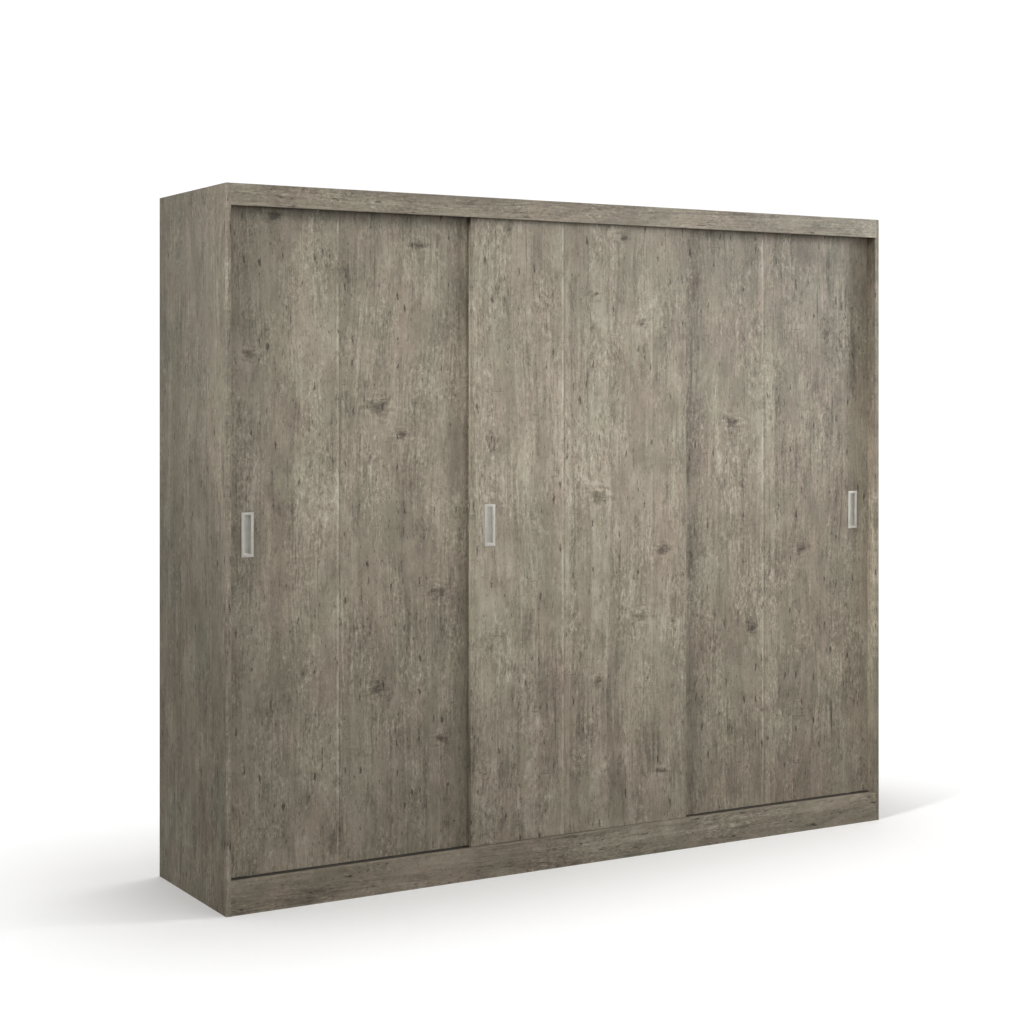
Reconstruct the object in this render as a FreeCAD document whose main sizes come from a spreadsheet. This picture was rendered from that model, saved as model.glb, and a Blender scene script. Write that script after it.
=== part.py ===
import FreeCAD, Part
import Sketcher
import math
import os

# Sliding door wardrobe: a board carcass with three compartments and three doors.
# The middle door runs in a front track, the two outer doors share a rear track.
# Lengths are millimetres. X runs to the right, Y to the back, Z up, and the
# origin is on the floor under the middle of the wardrobe.

DIMENSIONS = (
    ("overall_width", 2440, "outside faces of the two side panels"),
    ("overall_height", 2100, "floor to the top of the side panels"),
    ("overall_depth", 540, "front edge to rear edge of the side panels"),
    ("board", 15, "thickness of every board"),
    ("plinth_height", 97, "floor to the top face of the base panel"),
    ("fascia_height", 63, "height of the board above the doors"),
    ("interior_setback", 65, "front plane to the front edges of the dividers"),
    ("shelf_setback", 5, "front edge of a shelf behind the edge of a divider"),
    ("shelf_play", 0.5, "gap between a shelf and each neighbour"),
    ("hat_shelf_height", 1760, "floor to the top face of the hat shelves"),
    ("back_thickness", 3, "hardboard back"),
    ("back_inset", 1, "back behind the rear edges of the side panels"),
    ("back_play", 0.5, "gap between two sheets of the back, or one and its rebate"),
    ("back_margin", 2, "back short of the top and bottom of what it is nailed to"),
    ("rebate_width", 8, "rebate for the back in a side panel"),
    ("door_width", 813, "width of a door"),
    ("door_bottom_height", 99, "floor to the lower edge of the doors"),
    ("door_top_height", 2061, "floor to the upper edge of the doors"),
    ("front_track_setback", 19, "front plane to the face of the middle door"),
    ("track_pitch", 23, "front track to rear track"),
    ("side_gap", 1, "closed outer door to its side panel"),
    ("running_offset", 9, "front face of a door to its wheels and guides"),
    ("handle_width", 38, "flush pull, over its rim"),
    ("handle_height", 130, "flush pull, over its rim"),
    ("handle_rim", 9, "width of the rim of a flush pull"),
    ("handle_lip", 1.2, "rim of a flush pull in front of the door"),
    ("handle_cup_depth", 11, "cup of a flush pull behind the door's face"),
    ("handle_wall", 1, "sheet thickness of the cup"),
    ("handle_bevel", 0.4, "bevel round the rim of a flush pull"),
    ("handle_edge", 48, "flush pull to the nearer edge of its door"),
    ("handle_centre_height", 1087, "floor to the middle of the flush pulls"),
    ("mortise_depth", 12, "wheel and guide housings let into a door's back"),
    ("mortise_play", 0.2, "gap round a housing or a cup in its mortise"),
    ("ear_thickness", 2, "screw ears of the housings"),
    ("ear_screw_inset", 7, "screw to the end of an ear"),
    ("roller_inset", 80, "door edge to the axle of a wheel"),
    ("roller_body_width", 36, "wheel housing"),
    ("roller_body_height", 34, "wheel housing"),
    ("roller_ear_width", 64, "wheel housing over its ears"),
    ("roller_ear_height", 20, "ears of a wheel housing"),
    ("roller_ear_bottom", 7, "ears above the lower edge of the door"),
    ("roller_slot_length", 30, "slot for the wheel"),
    ("roller_slot_width", 6, "slot for the wheel"),
    ("roller_slot_height", 21.5, "slot for the wheel"),
    ("wheel_diameter", 28, "running wheel"),
    ("wheel_rim_width", 5, "running wheel"),
    ("wheel_hub_width", 5.4, "running wheel"),
    ("wheel_web_width", 3, "running wheel between hub and rim"),
    ("wheel_hub_diameter", 9, "running wheel"),
    ("wheel_rim_inner_diameter", 22, "running wheel"),
    ("wheel_bevel", 0.6, "bevel of the running face"),
    ("wheel_play", 0.3, "wheel above the floor of its track"),
    ("axle_diameter", 4, "steel axle"),
    ("axle_running_fit", 0.05, "radial play of a wheel on its axle"),
    ("guide_inset", 60, "door edge to the middle of a guide"),
    ("guide_body_width", 30, "guide housing"),
    ("guide_body_height", 30, "guide housing"),
    ("guide_ear_width", 58, "guide housing over its ears"),
    ("guide_ear_height", 16, "ears of a guide housing"),
    ("guide_ear_bottom", 8, "ears above the foot of a guide housing"),
    ("guide_slot_depth", 26, "slot for the guide bolt"),
    ("bolt_length", 22, "guide bolt along the track"),
    ("bolt_thickness", 9, "guide bolt across the track"),
    ("bolt_height", 27, "guide bolt"),
    ("bolt_reach", 15, "raised guide bolt above the door"),
    ("bolt_travel", 13, "guide bolt, raised to lowered"),
    ("bolt_play", 0.3, "gap round a guide bolt in its housing"),
    ("bolt_bevel", 1.5, "bevel round the top of a guide bolt"),
    ("tab_width", 7, "thumb tab of a guide bolt"),
    ("tab_height", 6, "thumb tab of a guide bolt"),
    ("tab_lift", 1, "thumb tab above the foot of its bolt"),
    ("top_track_height", 20, "twin channel under the top panel"),
    ("top_track_wall", 1.4, "twin channel"),
    ("channel_width", 12, "inside of each channel of the top track"),
    ("groove_width", 9.6, "each groove of the bottom track"),
    ("bottom_track_depth", 8, "twin track let into the base panel"),
    ("bottom_track_wall", 1.2, "outer walls of the bottom track"),
    ("bottom_track_floor", 1.5, "under the grooves of the bottom track"),
    ("stop_height", 16, "rubber stop in the end of the top track"),
    ("stop_play", 0.2, "gap between a stop and the channel walls"),
    ("stop_gap", 1, "guide bolt of a closed door to its stop"),
    ("rail_thickness", 15, "oval hanging rail"),
    ("rail_height", 30, "oval hanging rail"),
    ("rail_wall", 1.2, "oval hanging rail"),
    ("rail_drop", 60, "underside of a hat shelf to the middle of the rail"),
    ("rail_end_play", 1, "end of a rail to the plate of its socket"),
    ("socket_plate", 3, "plate of a rail socket"),
    ("socket_width", 24, "plate of a rail socket"),
    ("socket_height", 58, "plate of a rail socket"),
    ("socket_collar", 12, "collar round the end of a rail"),
    ("socket_wall", 2, "collar round the end of a rail"),
    ("socket_play", 0.3, "gap between a rail and its collar"),
    ("socket_peg_inset", 7, "peg to the end of the plate"),
    ("peg_diameter", 5, "shelf pins and socket pegs"),
    ("peg_depth", 7, "depth of the holes for pins and pegs"),
    ("pin_length", 16, "shelf pin"),
    ("pin_bevel", 0.6, "bevelled ends of a shelf pin"),
    ("pin_inset", 50, "shelf pin to the end of its board"),
    ("pin_hole_pitch", 32, "spare holes above and below each shelf pin"),
    ("cam_diameter", 15, "cam lock"),
    ("cam_height", 12, "cam lock"),
    ("cam_distance", 34, "cam lock to the end of its board"),
    ("cam_inset", 80, "front and rear cam locks in the top and base"),
    ("divider_cam_inset", 170, "cam locks in the dividers"),
    ("cam_bore", 8, "bore for a cam bolt"),
    ("cam_slot_length", 9, "screwdriver slot"),
    ("cam_slot_width", 1.6, "screwdriver slot"),
    ("cam_slot_depth", 2, "screwdriver slot"),
    ("cam_bolt_diameter", 5, "cam bolt"),
    ("cam_bolt_head", 7, "head of a cam bolt"),
    ("cam_bolt_head_length", 3, "head of a cam bolt"),
    ("cam_bolt_anchor", 10, "cam bolt in the board that it is screwed into"),
    ("dowel_diameter", 8, "beech dowel"),
    ("dowel_bevel", 0.8, "bevelled ends of a dowel"),
    ("dowel_shallow", 10, "hole in the face of a board"),
    ("dowel_deep", 20, "hole in the edge of a board"),
    ("dowel_play", 0.5, "dowel short of the end of each hole"),
    ("dowel_inset", 130, "front and rear dowels"),
    ("support_dowel_inset", 220, "dowels in the plinth supports"),
    ("screw_diameter", 3, "countersunk screw"),
    ("screw_head", 6, "head of a screw"),
    ("screw_head_height", 1, "head of a screw"),
    ("screw_length", 11.5, "screw over all"),
    ("screw_play", 0.1, "radial gap round a screw in what it holds"),
    ("nail_diameter", 1.6, "back nail"),
    ("nail_head", 5, "head of a back nail"),
    ("nail_length", 15, "back nail under its head"),
    ("nail_inset", 3.75, "nail to the edge of its sheet"),
    ("nail_first", 200, "first nail above and last nail below the end of a sheet"),
)

CENTRE_SHELVES = 3
FASCIA_DOWELS = 5
TRACK_SCREWS = 6
NAILS_UP = 6
NAILS_ACROSS = 4

doc = FreeCAD.newDocument("wardrobe")


def write_sheet():
    sheet = doc.addObject("Spreadsheet::Sheet", "dims")
    for row, (alias, value, meaning) in enumerate(DIMENSIONS, start=1):
        sheet.set(f"A{row}", alias)
        sheet.set(f"B{row}", str(value))
        sheet.set(f"C{row}", meaning)
        sheet.setAlias(f"B{row}", alias)
    doc.recompute()


# Places that many sub-parts share, as expressions in the sheet's dimensions.
FRONT = "(-dims.overall_depth / 2)"
LEFT = "(-dims.overall_width / 2)"
INNER_RIGHT = "(dims.overall_width / 2 - dims.board)"
INNER_LEFT = f"(-{INNER_RIGHT})"
INNER_WIDTH = "(dims.overall_width - 2 * dims.board)"
BEHIND_FRONT_BOARD = f"({FRONT} + dims.board)"
BACK_FACE = "(dims.overall_depth / 2 - dims.back_inset - dims.back_thickness)"
UNDER_TOP = "(dims.overall_height - dims.board)"
BASE_TOP = "dims.plinth_height"
BASE_UNDER = "(dims.plinth_height - dims.board)"
MID_TOP = "(dims.overall_height - dims.board / 2)"
MID_BASE = "(dims.plinth_height - dims.board / 2)"
BAY = "((dims.overall_width - 4 * dims.board) / 3)"
DIVIDER_LEFT = f"({INNER_LEFT} + {BAY})"
DIVIDER_RIGHT = f"({INNER_RIGHT} - {BAY} - dims.board)"
DIVIDER_FRONT = f"({FRONT} + dims.interior_setback)"
BAYS = {
    "left": INNER_LEFT,
    "centre": f"({DIVIDER_LEFT} + dims.board)",
    "right": f"({DIVIDER_RIGHT} + dims.board)",
}
MID_LEFT_DIVIDER = f"({DIVIDER_LEFT} + dims.board / 2)"
MID_RIGHT_DIVIDER = f"({DIVIDER_RIGHT} + dims.board / 2)"
HAT_SHELF_UNDER = "(dims.hat_shelf_height - dims.board)"
RAIL_Y = f"(({DIVIDER_FRONT} + {BACK_FACE}) / 2)"
RAIL_Z = f"({HAT_SHELF_UNDER} - dims.rail_drop)"
PLINTH_REAR_FRONT = f"({BACK_FACE} - dims.board)"
MID_FRONT_BOARD = f"({FRONT} + dims.board / 2)"
MID_REAR_BOARD = f"({BACK_FACE} - dims.board / 2)"
MID_PLINTH = f"({BASE_UNDER} / 2)"
MID_FASCIA = "(dims.overall_height - dims.fascia_height / 2)"
DOOR_HEIGHT = "(dims.door_top_height - dims.door_bottom_height)"
TOP_TRACK_WIDTH = "(dims.track_pitch + dims.channel_width + 2 * dims.top_track_wall)"
FRONT_RUN = f"({FRONT} + dims.front_track_setback + dims.running_offset)"
TOP_TRACK_FRONT = f"({FRONT_RUN} - dims.channel_width / 2 - dims.top_track_wall)"
TOP_TRACK_UNDER = f"({UNDER_TOP} - dims.top_track_height)"
BOTTOM_TRACK_FRONT = f"({FRONT_RUN} - dims.groove_width / 2 - dims.bottom_track_wall)"
BOTTOM_TRACK_WIDTH = "(dims.track_pitch + dims.groove_width + 2 * dims.bottom_track_wall)"
STOP_LENGTH = "(dims.side_gap + dims.guide_inset - dims.bolt_length / 2 - dims.stop_gap)"


def from_both_ends(start, end, inset):
    return [f"({start} + {inset})", f"({end} - {inset})"]


FRONT_PLANE_TO_REAR = (FRONT, "(dims.overall_depth / 2)")
CAM_ROWS = from_both_ends(*FRONT_PLANE_TO_REAR, "dims.cam_inset") + ["0"]
DOWEL_ROWS = from_both_ends(*FRONT_PLANE_TO_REAR, "dims.dowel_inset")
DIVIDER_CAM_ROWS = from_both_ends(*FRONT_PLANE_TO_REAR, "dims.divider_cam_inset")
SUPPORT_ROWS = from_both_ends(*FRONT_PLANE_TO_REAR, "dims.support_dowel_inset")
PIN_ROWS = from_both_ends(DIVIDER_FRONT, BACK_FACE, "dims.pin_inset")


def shelf_top(number):
    """Top face of a shelf in the centre bay, counted from 1 above the base panel."""
    share = f"({number} / {CENTRE_SHELVES + 1})"
    return f"({BASE_TOP} + ({HAT_SHELF_UNDER} - {BASE_TOP}) * {share} + dims.board / 2)"


def pin_height(shelf_top_face):
    return f"({shelf_top_face} - dims.board - dims.peg_diameter / 2)"


HAT_PIN = pin_height("dims.hat_shelf_height")
CENTRE_PINS = [pin_height(shelf_top(number + 1)) for number in range(CENTRE_SHELVES)]

# Sketch plane for each drilling axis, with the two wardrobe axes of the sketch
# and the way its normal points along the drilling axis.
PLANES = {
    "x": ("YZ_Plane", 1, 2, 1),
    "y": ("XZ_Plane", 0, 2, -1),
    "z": ("XY_Plane", 0, 1, 1),
}


def bind(sketch, kind, references, start, expression):
    index = sketch.addConstraint(Sketcher.Constraint(kind, *references, start))
    sketch.setExpression(f"Constraints[{index}]", expression)


def place_point(sketch, geometry, point, start, u, v):
    bind(sketch, "DistanceX", (-1, 1, geometry, point), start.x, u)
    bind(sketch, "DistanceY", (-1, 1, geometry, point), start.y, v)


def polygon(points):
    """Closed outline through points, each a pair of expressions."""
    def draw(sketch):
        first = sketch.GeometryCount
        count = len(points)
        turns = [2 * math.pi * index / count for index in range(count)]
        starts = [FreeCAD.Vector(20 + 10 * math.cos(a), 20 + 10 * math.sin(a), 0) for a in turns]
        for index, start in enumerate(starts):
            sketch.addGeometry(Part.LineSegment(start, starts[(index + 1) % count]))
        for index in range(count):
            following = first + (index + 1) % count
            sketch.addConstraint(Sketcher.Constraint("Coincident", first + index, 2, following, 1))
        for index, (u, v) in enumerate(points):
            place_point(sketch, first + index, 1, starts[index], u, v)
    return draw


def rectangle(u, v, width, height):
    right = f"{u} + {width}"
    upper = f"{v} + {height}"
    return polygon([(u, v), (right, v), (right, upper), (u, upper)])


def disc(u, v, diameter):
    def draw(sketch):
        centre = FreeCAD.Vector(5, 5, 0)
        geometry = sketch.addGeometry(Part.Circle(centre, FreeCAD.Vector(0, 0, 1), 1))
        place_point(sketch, geometry, 3, centre, u, v)
        bind(sketch, "Diameter", (geometry,), 2, diameter)
    return draw


def oval(centre, width, height):
    """Upright outline with half-round ends, about the point centre."""
    u, v = centre
    left = f"{u} - {width} / 2"
    right = f"{u} + {width} / 2"
    lower = f"{v} - ({height} - {width}) / 2"
    upper = f"{v} + ({height} - {width}) / 2"

    def draw(sketch):
        corners = [FreeCAD.Vector(*place) for place in ((8, 10), (12, 10), (12, 14), (8, 14))]
        axis = FreeCAD.Vector(0, 0, 1)
        below = Part.Circle(FreeCAD.Vector(10, 10, 0), axis, 2)
        above = Part.Circle(FreeCAD.Vector(10, 14, 0), axis, 2)
        foot = sketch.addGeometry(Part.ArcOfCircle(below, math.pi, 2 * math.pi))
        side = sketch.addGeometry(Part.LineSegment(corners[1], corners[2]))
        head = sketch.addGeometry(Part.ArcOfCircle(above, 0, math.pi))
        other = sketch.addGeometry(Part.LineSegment(corners[3], corners[0]))
        ring = (foot, side, head, other)
        for index, geometry in enumerate(ring):
            following = ring[(index + 1) % len(ring)]
            sketch.addConstraint(Sketcher.Constraint("Coincident", geometry, 2, following, 1))
        place_point(sketch, side, 1, corners[1], right, lower)
        place_point(sketch, side, 2, corners[2], right, upper)
        place_point(sketch, other, 1, corners[3], left, upper)
        place_point(sketch, other, 2, corners[0], left, lower)
        bind(sketch, "DistanceY", (-1, 1, foot, 3), 10, lower)
        bind(sketch, "DistanceY", (-1, 1, head, 3), 14, upper)
    return draw


def origin_feature(body, role):
    return next(part for part in body.Origin.OriginFeatures if part.Role == role)


def new_body(name, corner=("0", "0", "0")):
    body = doc.addObject("PartDesign::Body", name)
    body.Label = name
    for axis, expression in zip("xyz", corner):
        body.setExpression(f"Placement.Base.{axis}", expression)
    return body


def new_sketch(body, axis, level, outlines):
    plane, _, _, normal = PLANES[axis]
    sketch = body.newObject("Sketcher::SketchObject", f"{body.Label}_sketch")
    sketch.AttachmentSupport = [(origin_feature(body, plane), "")]
    sketch.MapMode = "FlatFace"
    sketch.setExpression("AttachmentOffset.Base.z", f"{normal} * ({level})")
    for outline in outlines:
        outline(sketch)
    return sketch


def pad(body, axis, level, outlines, length, toward=1):
    """Add material from a level along an axis, toward its plus or minus end."""
    sketch = new_sketch(body, axis, level, outlines)
    feature = body.newObject("PartDesign::Pad", f"{body.Label}_pad")
    feature.Profile = sketch
    feature.setExpression("Length", length)
    feature.Reversed = toward != PLANES[axis][3]
    return feature


def pocket(body, axis, level, outlines, depth, toward):
    """Take material away from a level along an axis, toward its plus or minus end."""
    sketch = new_sketch(body, axis, level, outlines)
    feature = body.newObject("PartDesign::Pocket", f"{body.Label}_pocket")
    feature.Profile = sketch
    feature.setExpression("Length", depth)
    feature.Reversed = toward == PLANES[axis][3]
    return feature


def revolve(body, points):
    """Turn an outline in Y and Z about the body's Y axis."""
    sketch = new_sketch(body, "x", "0", [polygon(points)])
    feature = body.newObject("PartDesign::Revolution", f"{body.Label}_revolution")
    feature.Profile = sketch
    feature.ReferenceAxis = (sketch, ["H_Axis"])
    feature.Angle = 360
    return feature


def bevel(body, size, keep):
    """Bevel the edges of the body's last feature that keep accepts."""
    doc.recompute()
    base = body.Tip
    names = [f"Edge{i}" for i, edge in enumerate(base.Shape.Edges, start=1) if keep(edge)]
    feature = body.newObject("PartDesign::Chamfer", f"{body.Label}_bevel")
    feature.Base = (base, names)
    feature.setExpression("Size", size)
    return feature


class Board:
    """A box-shaped body that is cut at places given in the wardrobe's frame."""

    def __init__(self, name, corner, size):
        self.corner = corner
        self.body = new_body(name, corner)
        pad(self.body, "z", "0", [rectangle("0", "0", size[0], size[1])], size[2])

    def local(self, index, place):
        return f"({place} - {self.corner[index]})"

    def drill(self, axis, face, centres, diameter, depth, toward):
        _, first, second, _ = PLANES[axis]
        outlines = [disc(self.local(first, u), self.local(second, v), diameter) for u, v in centres]
        level = self.local("xyz".index(axis), face)
        pocket(self.body, axis, level, outlines, depth, toward)

    def rout(self, axis, face, corner, size, depth, toward):
        _, first, second, _ = PLANES[axis]
        outline = rectangle(self.local(first, corner[0]), self.local(second, corner[1]), *size)
        level = self.local("xyz".index(axis), face)
        pocket(self.body, axis, level, [outline], depth, toward)


def pairs(first, second):
    return [(u, v) for u in first for v in second]


def turned(x_axis, z_axis):
    """Rotation that takes the X and Z axes to two given directions."""
    x_axis = FreeCAD.Vector(*x_axis)
    z_axis = FreeCAD.Vector(*z_axis)
    return FreeCAD.Rotation(x_axis, z_axis.cross(x_axis), z_axis, "ZXY")


UPRIGHT = FreeCAD.Rotation()


def group(name, prototype, places):
    """One node of identical separate solids, each a link to the prototype."""
    links = []
    for place, rotation in places:
        link = doc.addObject("App::Link", f"{name}_item")
        link.LinkedObject = prototype
        link.Placement = FreeCAD.Placement(FreeCAD.Vector(), rotation)
        for axis, expression in zip("xyz", place):
            link.setExpression(f"Placement.Base.{axis}", expression)
        links.append(link)
    compound = doc.addObject("Part::Compound", name)
    compound.Label = name
    compound.Links = links
    return compound


# ---------------------------------------------------------------- carcass boards

def nail_heights():
    step = f"((dims.overall_height - {BASE_UNDER} - 2 * dims.nail_first) / {NAILS_UP - 1})"
    return [f"({BASE_UNDER} + dims.nail_first + {index} * {step})" for index in range(NAILS_UP)]


def sheet_edges(bay):
    """Left and right edges of the sheet of the back behind a bay."""
    outer = "(dims.rebate_width - dims.back_play)"
    joint = "dims.back_play / 2"
    edges = {
        "left": (f"({INNER_LEFT} - {outer})", f"({MID_LEFT_DIVIDER} - {joint})"),
        "centre": (f"({MID_LEFT_DIVIDER} + {joint})", f"({MID_RIGHT_DIVIDER} - {joint})"),
        "right": (f"({MID_RIGHT_DIVIDER} + {joint})", f"({INNER_RIGHT} + {outer})"),
    }
    return edges[bay]


def nail_columns(bay):
    return from_both_ends(*sheet_edges(bay), "dims.nail_inset")


def nails_across(bay):
    left, right = sheet_edges(bay)
    step = f"(({right} - {left}) / {NAILS_ACROSS})"
    return [f"({left} + {index + 0.5} * {step})" for index in range(NAILS_ACROSS)]


NAIL_GRIP = "(dims.nail_length - dims.back_thickness)"


def side_panel(name, corner_x, inner_face, into_board, nail_x):
    board = Board(name, (corner_x, FRONT, "0"), ("dims.board", "dims.overall_depth", "dims.overall_height"))
    rebate_x = inner_face if into_board > 0 else f"({inner_face} - dims.rebate_width)"
    board.rout("z", "0", (rebate_x, BACK_FACE), ("dims.rebate_width", "dims.overall_depth"),
               "dims.overall_height", 1)
    bolts = pairs(CAM_ROWS, (MID_TOP, MID_BASE))
    board.drill("x", inner_face, bolts, "dims.cam_bolt_diameter", "dims.cam_bolt_anchor", into_board)
    dowels = pairs(DOWEL_ROWS, (MID_TOP, MID_BASE))
    dowels += [(MID_FRONT_BOARD, MID_PLINTH), (MID_REAR_BOARD, MID_PLINTH), (MID_FRONT_BOARD, MID_FASCIA)]
    board.drill("x", inner_face, dowels, "dims.dowel_diameter", "dims.dowel_shallow", into_board)
    drill_pin_holes(board, inner_face, [HAT_PIN], into_board)
    drill_socket_holes(board, inner_face, into_board)
    nails = pairs([nail_x], nail_heights())
    board.drill("y", BACK_FACE, nails, "dims.nail_diameter", NAIL_GRIP, -1)


def drill_pin_holes(board, face, heights, toward):
    levels = [f"({z} + {step} * dims.pin_hole_pitch)" for z in heights for step in (-1, 0, 1)]
    board.drill("x", face, pairs(PIN_ROWS, levels), "dims.peg_diameter", "dims.peg_depth", toward)


def socket_pegs():
    reach = "(dims.socket_height / 2 - dims.socket_peg_inset)"
    return [(RAIL_Y, f"({RAIL_Z} - {reach})"), (RAIL_Y, f"({RAIL_Z} + {reach})")]


def drill_socket_holes(board, face, toward):
    board.drill("x", face, socket_pegs(), "dims.peg_diameter", "dims.peg_depth", toward)


PANEL_SIZE = (INNER_WIDTH, f"({BACK_FACE} - {BEHIND_FRONT_BOARD})", "dims.board")
NEAR_LEFT_END = f"({INNER_LEFT} + dims.cam_distance)"
NEAR_RIGHT_END = f"({INNER_RIGHT} - dims.cam_distance)"
MID_DIVIDERS = (MID_LEFT_DIVIDER, MID_RIGHT_DIVIDER)


def drill_panel(board, middle, underside, divider_face, into_board):
    """Joinery that the top panel and the base panel have in common."""
    for end, toward in ((INNER_LEFT, 1), (INNER_RIGHT, -1)):
        bores = pairs(CAM_ROWS, [middle])
        board.drill("x", end, bores, "dims.cam_bore", "dims.cam_distance", toward)
        dowels = pairs(DOWEL_ROWS, [middle])
        board.drill("x", end, dowels, "dims.dowel_diameter", "dims.dowel_deep", toward)
    cams = pairs((NEAR_LEFT_END, NEAR_RIGHT_END), CAM_ROWS)
    board.drill("z", underside, cams, "dims.cam_diameter", "dims.cam_height", 1)
    dowels = pairs(MID_DIVIDERS, DOWEL_ROWS)
    board.drill("z", divider_face, dowels, "dims.dowel_diameter", "dims.dowel_shallow", into_board)
    bolts = pairs(MID_DIVIDERS, DIVIDER_CAM_ROWS)
    board.drill("z", divider_face, bolts, "dims.cam_bolt_diameter", "dims.cam_bolt_anchor", into_board)
    nails = [(x, middle) for bay in BAYS for x in nails_across(bay)]
    board.drill("y", BACK_FACE, nails, "dims.nail_diameter", NAIL_GRIP, -1)


def fascia_dowel_places():
    step = f"({INNER_WIDTH} / {FASCIA_DOWELS})"
    return [f"({INNER_LEFT} + {index + 0.5} * {step})" for index in range(FASCIA_DOWELS)]


def track_screw_places():
    step = f"({INNER_WIDTH} / {TRACK_SCREWS})"
    return [f"({INNER_LEFT} + {index + 0.5} * {step})" for index in range(TRACK_SCREWS)]


TRACK_SCREW_Y = f"({FRONT_RUN} + dims.track_pitch / 2)"


def top_panel():
    board = Board("top_panel", (INNER_LEFT, BEHIND_FRONT_BOARD, UNDER_TOP), PANEL_SIZE)
    drill_panel(board, MID_TOP, UNDER_TOP, UNDER_TOP, 1)
    dowels = pairs(fascia_dowel_places(), [MID_TOP])
    board.drill("y", BEHIND_FRONT_BOARD, dowels, "dims.dowel_diameter", "dims.dowel_deep", 1)
    screws = pairs(track_screw_places(), [TRACK_SCREW_Y])
    board.drill("z", UNDER_TOP, screws, "dims.screw_diameter",
                "(dims.screw_length - dims.screw_head_height - dims.top_track_wall)", 1)


def base_panel():
    board = Board("base_panel", (INNER_LEFT, BEHIND_FRONT_BOARD, BASE_UNDER), PANEL_SIZE)
    board.rout("z", BASE_TOP, (INNER_LEFT, BOTTOM_TRACK_FRONT), (INNER_WIDTH, BOTTOM_TRACK_WIDTH),
               "dims.bottom_track_depth", -1)
    drill_panel(board, MID_BASE, BASE_UNDER, BASE_TOP, -1)
    dowels = pairs(MID_DIVIDERS, SUPPORT_ROWS)
    board.drill("z", BASE_UNDER, dowels, "dims.dowel_diameter", "dims.dowel_shallow", 1)


def drill_end_dowels(board, y, z):
    for end, toward in ((INNER_LEFT, 1), (INNER_RIGHT, -1)):
        board.drill("x", end, [(y, z)], "dims.dowel_diameter", "dims.dowel_deep", toward)


def plinth():
    front = Board("plinth_front", (INNER_LEFT, FRONT, "0"), (INNER_WIDTH, "dims.board", BASE_TOP))
    drill_end_dowels(front, MID_FRONT_BOARD, MID_PLINTH)
    ends = pairs(MID_DIVIDERS, [MID_PLINTH])
    front.drill("y", BEHIND_FRONT_BOARD, ends, "dims.dowel_diameter", "dims.dowel_shallow", -1)
    rear = Board("plinth_rear", (INNER_LEFT, PLINTH_REAR_FRONT, "0"),
                 (INNER_WIDTH, "dims.board", BASE_UNDER))
    drill_end_dowels(rear, MID_REAR_BOARD, MID_PLINTH)
    rear.drill("y", PLINTH_REAR_FRONT, ends, "dims.dowel_diameter", "dims.dowel_shallow", 1)
    depth = f"({PLINTH_REAR_FRONT} - {BEHIND_FRONT_BOARD})"
    left = (DIVIDER_LEFT, BEHIND_FRONT_BOARD, "0")
    right = (DIVIDER_RIGHT, BEHIND_FRONT_BOARD, "0")
    support = Board("plinth_support_prototype", left, ("dims.board", depth, BASE_UNDER))
    tops = pairs([MID_LEFT_DIVIDER], SUPPORT_ROWS)
    support.drill("z", BASE_UNDER, tops, "dims.dowel_diameter", "dims.dowel_deep", -1)
    for end, toward in ((BEHIND_FRONT_BOARD, 1), (PLINTH_REAR_FRONT, -1)):
        middle = [(MID_LEFT_DIVIDER, MID_PLINTH)]
        support.drill("y", end, middle, "dims.dowel_diameter", "dims.dowel_deep", toward)
    group("plinth_supports", support.body, [(left, UPRIGHT), (right, UPRIGHT)])


def fascia():
    under = "(dims.overall_height - dims.fascia_height)"
    board = Board("fascia", (INNER_LEFT, FRONT, under), (INNER_WIDTH, "dims.board", "dims.fascia_height"))
    drill_end_dowels(board, MID_FRONT_BOARD, MID_FASCIA)
    dowels = pairs(fascia_dowel_places(), [MID_TOP])
    board.drill("y", BEHIND_FRONT_BOARD, dowels, "dims.dowel_diameter", "dims.dowel_shallow", -1)


def divider(name, x, middle, cam_side, nail_x):
    """Upright between two bays. Its cam locks face the centre bay."""
    depth = f"({BACK_FACE} - {DIVIDER_FRONT})"
    height = f"({UNDER_TOP} - {BASE_TOP})"
    board = Board(name, (x, DIVIDER_FRONT, BASE_TOP), ("dims.board", depth, height))
    faces = (x, f"({x} + dims.board)")
    centre_face = faces[1] if cam_side > 0 else faces[0]
    outer_face = faces[0] if cam_side > 0 else faces[1]
    cam_levels = from_both_ends(BASE_TOP, UNDER_TOP, "dims.cam_distance")
    board.drill("x", centre_face, pairs(DIVIDER_CAM_ROWS, cam_levels), "dims.cam_diameter",
                "dims.cam_height", -cam_side)
    for end, toward in ((BASE_TOP, 1), (UNDER_TOP, -1)):
        board.drill("z", end, pairs([middle], DIVIDER_CAM_ROWS), "dims.cam_bore",
                    "dims.cam_distance", toward)
        board.drill("z", end, pairs([middle], DOWEL_ROWS), "dims.dowel_diameter",
                    "dims.dowel_deep", toward)
    drill_pin_holes(board, centre_face, [HAT_PIN] + CENTRE_PINS, -cam_side)
    drill_pin_holes(board, outer_face, [HAT_PIN], cam_side)
    drill_socket_holes(board, outer_face, cam_side)
    board.drill("y", BACK_FACE, pairs(nail_x, nail_heights()), "dims.nail_diameter", NAIL_GRIP, -1)


def shelf(name, bay, top):
    corner = (f"({BAYS[bay]} + dims.shelf_play)", f"({DIVIDER_FRONT} + dims.shelf_setback)",
              f"({top} - dims.board)")
    depth = f"({BACK_FACE} - {DIVIDER_FRONT} - dims.shelf_setback - dims.shelf_play)"
    Board(name, corner, (f"({BAY} - 2 * dims.shelf_play)", depth, "dims.board"))


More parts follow.
